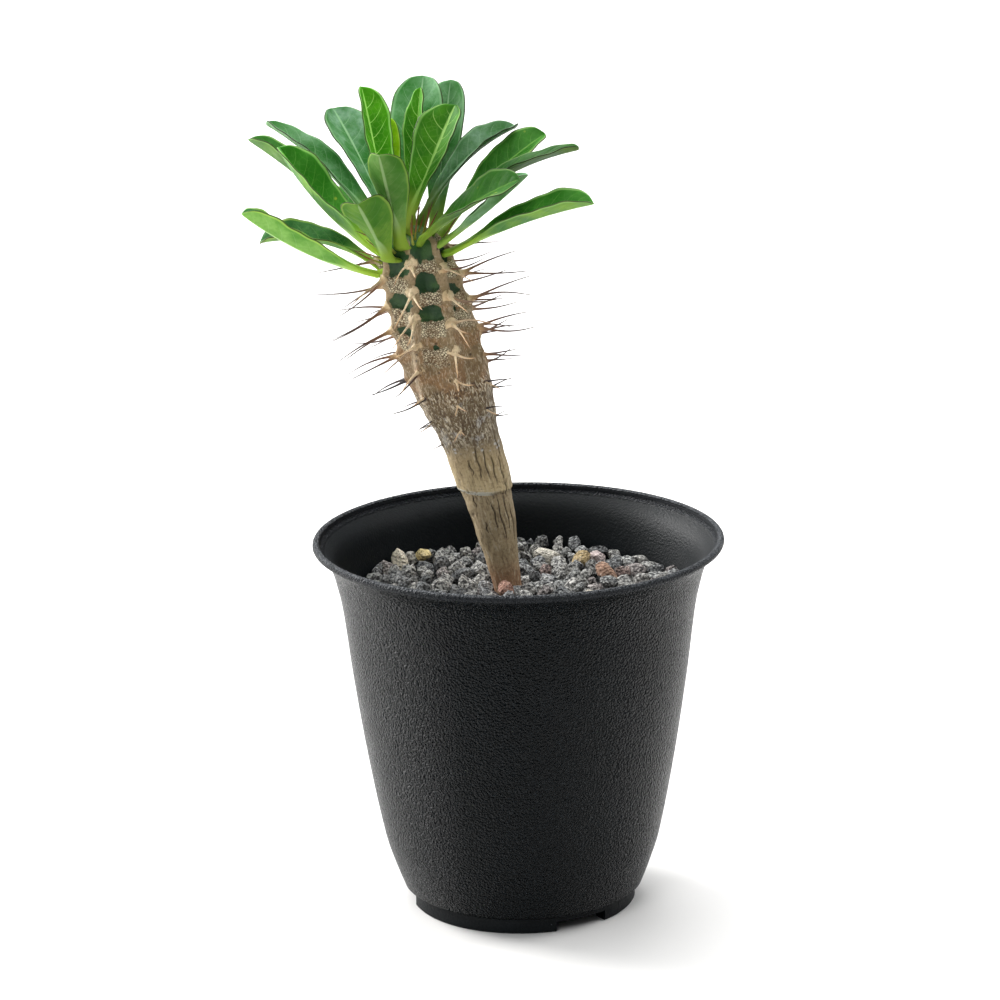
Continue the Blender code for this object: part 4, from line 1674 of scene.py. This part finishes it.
    def midrib(self, leaf: Leaf) -> tuple[Vector, list[Vector], list[float], Vector]:
        """The line of a leaf's midrib.

        Args:
            leaf: the leaf.

        Returns:
            Its direction seen from above, its points, its slopes and the way out of the dome.
        """
        azimuth = math.radians(leaf.azimuth)
        out = Vector((math.cos(azimuth), math.sin(azimuth), 0))
        foot = sum(self.stem.seat(math.radians(leaf.seat), leaf.ring), Vector())
        slopes = [
            math.radians(leaf.rise + leaf.droop * (0.5 - step / self.midrib_steps))
            for step in range(self.midrib_steps + 1)
        ]
        place = self.stem.row(self.stem.dome_height).middle + foot + foot.normalized() * self.gap
        points = [place]
        for slope in slopes[:-1]:
            place = place + leaf.length / self.midrib_steps * swing(slope, out, UP)
            points.append(place)
        return out, points, slopes, foot.normalized()

    def sections(self, leaf: Leaf) -> list[LeafSection]:
        """Cuts a leaf into sections.

        Args:
            leaf: the leaf.

        Returns:
            The sections, from inside the dome to the leaf's tip.
        """
        out, points, slopes, outward = self.midrib(leaf)
        side = UP.cross(out)
        places = [-self.sunk_part, -self.sunk_part / 2]
        places += [1 - (1 - row / self.rows) ** self.crowding for row in range(self.rows + 1)]
        sections = []
        for along in places:
            outside = max(along, 0.0)
            reach = outside * self.midrib_steps
            step = min(int(reach), self.midrib_steps - 1)
            middle = points[step].lerp(points[step + 1], reach - step)
            if along < 0:
                middle = points[0] + outward * self.sunk * along / self.sunk_part
            slope = slopes[step] + (slopes[step + 1] - slopes[step]) * (reach - step)
            above = swing(slope, out, UP).cross(side)
            roll = math.radians(leaf.roll) * outside
            fold = math.radians(leaf.fold) * math.sin(math.pi / 2 * min(1, outside / self.fold_part))
            beside, above = swing(roll, side, above), swing(-roll, above, side)
            half = self.half_width(leaf, along)
            sections.append(LeafSection(along, middle, beside, above, half, fold))
        return sections

    def thickness(self, across: float, along: float) -> float:
        """A leaf's thickness: a round stalk, and a blade that thins to a rounded edge.

        Args:
            across: from -1 at one margin to 1 at the other.
            along: the part of the leaf's length.

        Returns:
            The thickness there.
        """
        bulk = (1 - abs(across)) ** 2 * (1 - max(along, 0.0))
        blade = self.edge_thickness + (self.rib_thickness - self.edge_thickness) * bulk
        blade *= (1 - across**8) ** 0.5
        stalk = self.stalk_thickness * arc(across)
        return (stalk + (blade - stalk) * smoothstep(0.0, self.stalk_part, along)) * self.tip_round(along)

    def vein_phase(self, leaf: Leaf, across: float, along: float) -> float:
        """Which vein a point is at: whole numbers and a half lie on veins.

        Args:
            leaf: the leaf.
            across: from -1 at one margin to 1 at the other.
            along: the part of the leaf's length.

        Returns:
            The count of veins up to the point.
        """
        shift = self.vein_offset if across < 0 else 0.0
        slanted = along - self.vein_slant * abs(across) ** self.vein_curve
        jitter = grain(Vector((slanted * 5, shift * 7, leaf.azimuth)), 1.0) * self.vein_jitter
        return 10 + shift + slanted * self.veins + jitter

    def point(self, leaf: Leaf, cut: LeafSection, across: float, upper: bool) -> Vector:
        """A point of a leaf's skin.

        Args:
            leaf: the leaf.
            cut: the section that it is on.
            across: from -1 at one margin to 1 at the other.
            upper: whether it is on the top.

        Returns:
            The point, measured from the pot's axis.
        """
        along = max(cut.along, 0.0)
        wave = self.wave * math.sin(math.tau * self.waves * along + leaf.azimuth)
        wave += self.ripple * math.sin(math.tau * self.ripples * along + leaf.seat + across)
        soft = math.sqrt(across**2 + self.fold_soft**2)
        lift = cut.half * (soft - self.fold_soft) * math.sin(cut.fold) + wave * across**2 * along
        middle = cut.middle + cut.beside * cut.half * across * math.cos(cut.fold) + cut.above * lift
        normal = swing(-cut.fold * across / soft, cut.above, cut.beside)
        near_rib = math.exp(-((across * cut.half / self.rib_half) ** 2))
        near_rib *= smoothstep(*self.rib_from, along) * (1 - along)
        puff = 1 - abs(2 * (self.vein_phase(leaf, across, along) % 1) - 1)
        puff = self.pillow * (1 - puff**3) * smoothstep(*self.pillow_from, along) * (1 - across**4)
        half = self.thickness(across, cut.along) / 2
        if upper:
            return middle + normal * (half - self.groove * near_rib + puff)
        return middle - normal * (half + self.keel * near_rib - puff / 2)

    def blade(self, leaf: Leaf) -> BMesh:
        """Makes the closed skin of one leaf, with its map and its marks.

        Args:
            leaf: the leaf.

        Returns:
            The skin's mesh.
        """
        sections = self.sections(leaf)
        bm = grid_mesh(2 * self.columns, len(sections) - 1, mapped=True)
        layers = add_marks(bm, "vein", "light", "bloom")
        uv = bm.loops.layers.uv["leaf"]
        for loop in (loop for face in bm.faces for loop in face.loops):
            cut = sections[round(loop.vert.co.y * (len(sections) - 1))]
            across, upper = self.lap(loop.vert.co.x)
            loop[uv].uv = ((across + 1) / 4 if upper else (3 - across) / 4, max(cut.along, 0.0))
        for vert in bm.verts:
            cut = sections[round(vert.co.y * (len(sections) - 1))]
            across, upper = self.lap(vert.co.x)
            vert[layers["vein"]] = self.vein_phase(leaf, across, max(cut.along, 0.0))
            # The leaf's light: partly its own tone, partly painted light and shade
            vert[layers["light"]] = leaf.light
            vert[layers["bloom"]] = leaf.bloom
            vert.co = self.point(leaf, cut, across, upper)
        close_tube(bm)
        return bm

    @staticmethod
    def lap(turn: float) -> tuple[float, bool]:
        """Where a part of the way round a section lies.

        Args:
            turn: the part of the way, from 0 to 1.

        Returns:
            Where it lies across the section, and whether on the top.
        """
        upper = turn <= 0.5
        part = 2 * turn if upper else 2 * turn - 1
        across = part - 0.5 - 0.5 * math.cos(math.pi * part)
        return (across if upper else -across), upper

    def build(self) -> list[BVHTree]:
        """Builds and dresses every leaf.

        Returns:
            A search tree over each leaf's skin, measured from the pot's axis.
        """
        finishes = {tone: tone.value.make() for tone in LeafTone}
        skins = []
        for number, leaf in enumerate(self.leaves, start=1):
            bm = self.blade(leaf)
            skins.append(BVHTree.FromBMesh(bm))
            name = f"leaf_{number:02d}"
            add_piece(f"{name}_blade", bm, finishes[leaf.tone], name)
        return skins


@dataclass(frozen=True)
class Gravel:
    """The top dressing: a gritty bed, coloured dark as painted shade between the stones, and a heap of lumpy
    stones on it.
    """

    pot: Pot
    stem: Stem
    bed_top: float = 0.0572
    bed_bottom: float = 0.0543
    gap: float = 0.0003
    bed_columns: int = 180
    bed_rings: int = 60
    grit: tuple[Layer, ...] = ((0.0014, 2, 0.0005), (0.003, 6, 0.0004))
    shapes: int = 28
    shape_cuts: int = 2
    swelling: float = 1.12
    bulges: tuple[Pair, ...] = ((0.9, 0.34), (0.42, 0.26))
    breadth: Span = (0.66, 1.0)
    thickness: Span = (0.56, 0.88)
    chips: int = 7
    chip_depth: Span = (0.54, 0.82)
    chip_flat: float = 0.85
    stones: int = 430
    radii: Span = (0.0014, 0.0029)
    surface: float = 0.0601
    swell: tuple[Layer, ...] = ((0.011, 4, 0.0011),)
    sunk: float = 0.7
    lift: float = 0.0004
    stem_room: float = 0.75
    closeness: float = 0.78
    tries: int = 40000
    crease: float = 30.0
    seed: int = 7
    # Painted shade: the bed's dark colour stands for the shade in the gaps between the stones
    bed_shade: Colour = paint(58, 58, 60)
    greys: tuple[Colour, ...] = (
        paint(176, 177, 176), paint(160, 161, 162), paint(190, 189, 186),
        paint(142, 144, 146), paint(204, 202, 198), paint(176, 168, 166),
    )
    reddish: Colour = paint(168, 146, 140)
    reddish_share: float = 0.03
    lightness: Span = (0.75, 1.2)
    special: tuple[tuple[float, float, float, Colour], ...] = (
        (-0.0217, 0.0188, 0.0025, paint(244, 234, 214)), (-0.0178, 0.0205, 0.0017, paint(248, 226, 168)),
        (0.0051, 0.0212, 0.0026, paint(214, 208, 196)), (0.0119, 0.0168, 0.0019, paint(180, 158, 118)),
        (0.0147, 0.0173, 0.0026, paint(196, 180, 178)), (0.0163, 0.0081, 0.0024, paint(170, 136, 116)),
        (0.0128, -0.0063, 0.0018, paint(222, 214, 198)), (-0.0024, -0.0048, 0.0018, paint(170, 130, 114)),
    )
    special_lift: float = 0.0011
    special_pits: float = 0.35

    def rest(self, x: float, y: float, size: float, lift: float) -> Vector:
        """Where the middle of a stone lies at a place, for its size and its lift."""
        height = self.surface + lumps(Vector((x, y, 0)), self.swell)
        return Vector((x, y, height - size * self.sunk + lift))

    def build_bed(self, stone: Material) -> None:
        """Builds and dresses the gritty bed: a closed ring between the stem and the wall, dark as painted
        shade in the gaps between the stones.

        Args:
            stone: its material.
        """
        hole = self.stem.row(self.bed_top)
        hub = Vector((hole.middle.x, hole.middle.y, 0))
        reach = self.pot.inner_radius(self.bed_bottom) - self.gap
        bm = grid_mesh(self.bed_columns, self.bed_rings + 2)
        tint = bm.verts.layers.float_color.new("tint")
        for vert in bm.verts:
            turn = vert.co.x * math.tau
            ring = round(vert.co.y * (self.bed_rings + 2))
            part = min(max(ring - 1, 0), self.bed_rings) / self.bed_rings
            way = Vector((math.cos(turn), math.sin(turn), 0))
            place = (hub + way * (hole.girth + self.gap)).lerp(way * reach, part)
            on_top = 0 < ring < self.bed_rings + 2
            place.z = self.bed_top + lumps(place, self.grit) if on_top else self.bed_bottom
            vert.co = place
            # Painted shade for the gaps between the stones
            vert[tint] = (*self.bed_shade, 1.0)
        bmesh.ops.remove_doubles(bm, verts=bm.verts, dist=MERGE)
        rims = [edge for edge in bm.edges if edge.is_boundary]
        bmesh.ops.bridge_loops(bm, edges=rims)
        bmesh.ops.recalc_face_normals(bm, faces=bm.faces)
        add_piece("gravel_shade_bed", bm, stone, "gravel")

    def stone_shapes(self, draw: random.Random) -> list[Mesh]:
        """Makes lumpy stones about 1 in radius: finely cut cubes blown up to rough balls.

        Args:
            draw: the random draws.

        Returns:
            The stones' meshes.
        """
        shapes = []
        for index in range(self.shapes):
            bm = bmesh.new()
            bmesh.ops.create_cube(bm, size=1)
            bmesh.ops.subdivide_edges(bm, edges=bm.edges, cuts=self.shape_cuts, use_grid_fill=True)
            flat = Vector((1, draw.uniform(*self.breadth), draw.uniform(*self.thickness)))
            chips = []
            for _ in range(self.chips):
                face = Vector([draw.gauss(0, 1) for _ in range(3)]).normalized()
                chips.append((face, draw.uniform(*self.chip_depth)))
            for vert in bm.verts:
                way = vert.co.normalized()
                point = way * (1 + sum(depth * grain(way, size, index) for size, depth in self.bulges))
                for face, depth in chips:
                    point -= face * self.chip_flat * max(point.dot(face) - depth, 0)
                vert.co = self.swelling * point * flat
            shapes.append(mesh_of(f"stone_{index}", bm))
        return shapes

    def places(self, draw: random.Random) -> list[tuple[Vector, float]]:
        """Finds room for the stones.

        Args:
            draw: the random draws.

        Returns:
            Where the stones lie and how big they are, the special ones first.
        """
        found = [(self.rest(x, y, size, self.special_lift), size) for x, y, size, _ in self.special]
        row = self.stem.row(self.surface)
        for _ in range(self.tries):
            if len(found) == self.stones:
                break
            size = draw.uniform(*self.radii)
            reach = self.pot.inner_radius(self.surface) - self.gap - size
            turn = draw.uniform(0, math.tau)
            out = reach * math.sqrt(draw.random())
            x, y = out * math.cos(turn), out * math.sin(turn)
            place = self.rest(x, y, size, draw.uniform(-1, 1) * self.lift)
            off_stem = math.hypot(x - row.middle.x, y - row.middle.y)
            apart = ((place - other).length > self.closeness * (size + wide) for other, wide in found)
            if off_stem >= row.girth + size * self.stem_room and all(apart):
                found.append((place, size))
        return found

    def tint(self, index: int, draw: random.Random) -> tuple[float, ...]:
        """A stone's colour, a special one's own or a grey, and how pitted the stone is.

        Args:
            index: the stone's number.
            draw: the random draws.

        Returns:
            The three parts of the colour, and the pits from 0 to 1.
        """
        if index < len(self.special):
            return (*self.special[index][3], self.special_pits)
        base = self.reddish if draw.random() < self.reddish_share else draw.choice(self.greys)
        light = draw.uniform(*self.lightness)
        return (*(channel * light for channel in base), 1.0)

    def build(self) -> None:
        """Builds and dresses the bed and the stones."""
        stone = LavaStone().make()
        self.build_bed(stone)
        draw = random.Random(self.seed)
        shapes = self.stone_shapes(draw)
        bm = bmesh.new()
        layer = bm.verts.layers.float_color.new("tint")
        for index, (place, size) in enumerate(self.places(draw)):
            start = len(bm.verts)
            bm.from_mesh(draw.choice(shapes))
            bm.verts.ensure_lookup_table()
            turn = Matrix.Rotation(draw.uniform(0, math.tau), 4, "Z")
            tilt = Matrix.Rotation(draw.uniform(0, math.tau), 4, (draw.random(), draw.random(), 0.2))
            put = Matrix.Translation(place) @ turn @ tilt @ Matrix.Scale(size, 4)
            bmesh.ops.transform(bm, matrix=put, verts=bm.verts[start:])
            tint = self.tint(index, draw)
            for vert in bm.verts[start:]:
                vert[layer] = tint
        add_piece("gravel_stones", bm, stone, "gravel", self.crease)
        for shape in shapes:
            bpy.data.meshes.remove(shape)


@dataclass(frozen=True)
class Lamp:
    """One soft studio light."""

    name: str
    place: Point
    target: Point
    size: float
    power: float
    colour: Colour = (1, 1, 1)

    def build(self) -> None:
        """Puts the light in the scene."""
        data = bpy.data.lights.new(self.name, "AREA")
        data.shape = "DISK"
        data.size = self.size
        data.energy = self.power
        data.color = self.colour
        turn = (Vector(self.target) - Vector(self.place)).to_track_quat("-Z", "Y").to_matrix().to_4x4()
        link(self.name, data).matrix_world = Matrix.Translation(self.place) @ turn


@dataclass(frozen=True)
class Studio:
    """The pale floor, the lights, the surroundings and the camera at the photograph's angle."""

    floor_half: float = 4.0
    floor_colour: Colour = paint(238, 237, 235)
    floor_shade: Colour = paint(226, 224, 220)
    air: Colour = (0.94, 0.97, 1.0)
    air_range: Span = (0.03, 0.8)
    air_from: float = -0.6
    window_way: Point = (-0.75, 0.50, 0.45)
    view_transform: str = "Standard"
    lamps: tuple[Lamp, ...] = (
        Lamp("window", (-0.80, 0.50, 0.50), (0, 0, 0.08), 0.6, 18.0, (1.0, 0.99, 0.98)),
        Lamp("top", (0.0, 0.0, 1.3), (0, 0, 0.08), 0.9, 9.0),
        Lamp("back", (0.0, 1.0, 1.2), (0, 0.3, 0.0), 1.0, 9.0),
        Lamp("front", (-0.25, -1.0, 1.1), (0, 0, 0.08), 0.6, 5.0),
        Lamp("right", (0.75, 0.10, 0.75), (0, 0, 0.10), 0.5, 4.0),
    )
    down: float = math.radians(15.76)
    tilt: float = math.radians(0.95)
    distance: float = 0.8
    target: Vector = AXIS + Vector((-0.0032, 0.0, 0.07625))
    focal_pixels: float = 4405.0
    picture_pixels: float = 1000.0
    sensor: float = 36.0
    sight: float = 50.0

    def floor(self) -> None:
        """The floor."""
        bm = bmesh.new()
        bmesh.ops.create_grid(bm, x_segments=1, y_segments=1, size=self.floor_half)
        made = link("studio_floor", mesh_of("studio_floor", bm))
        graph = Graph("pale floor")
        shade = graph.noise(graph.place(), 0.4)
        colour = graph.mix(shade * 0.06, self.floor_colour, self.floor_shade)
        made.data.materials.append(graph.finish(Base_Color=colour, Roughness=0.9))

    def surroundings(self) -> None:
        """The pale light from all round, brighter on the side of a window and dim across from it."""
        graph = Graph("studio", world=True)
        way = graph.node("ShaderNodeTexCoord", output="Generated")
        ways = {0: way, 1: Vector(self.window_way).normalized()}
        facing = graph.node("ShaderNodeVectorMath", {"operation": "DOT_PRODUCT"}, ways, "Value")
        dim, bright = self.air_range
        inputs = {"Value": facing, "From Min": self.air_from, "To Min": dim, "To Max": bright}
        strength = graph.node("ShaderNodeMapRange", None, inputs)
        bpy.context.scene.world = graph.finish(Color=self.air, Strength=strength)

    def camera(self) -> None:
        """The camera, in the photograph's place."""
        level, back = Vector((1, 0, 0)), Vector((0, -1, 0))
        upright = swing(self.down, UP, -back)
        behind = swing(self.down, back, UP)
        right = swing(-self.tilt, level, upright)
        up = swing(self.tilt, upright, level)
        data = bpy.data.cameras.new("photo_camera")
        data.sensor_width = self.sensor
        data.lens = self.focal_pixels * self.sensor / self.picture_pixels
        data.clip_end = self.sight
        made = link("photo_camera", data)
        turn = Matrix((right, up, behind)).transposed().to_4x4()
        made.matrix_world = Matrix.Translation(self.target + behind * self.distance) @ turn
        bpy.context.scene.camera = made

    def build(self) -> None:
        """Builds the studio."""
        bpy.context.scene.view_settings.view_transform = self.view_transform
        self.camera()
        self.floor()
        self.surroundings()
        for lamp in self.lamps:
            lamp.build()


def main() -> None:
    """Builds every piece round the frame."""
    logging.basicConfig(level=logging.INFO, format="%(message)s")
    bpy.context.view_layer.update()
    Studio().build()
    pot = Pot()
    pot.build()
    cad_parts["soil"].material_slots[0].material = PottingSoil().make()
    log.info("soil: the CAD node, dressed")
    stem = Stem()
    Gravel(pot, stem).build()
    skins = Foliage(stem).build()
    stem.build()
    Spines(stem).build(skins)
    Crown(stem).build(skins)


if __name__ == "__main__":
    main()
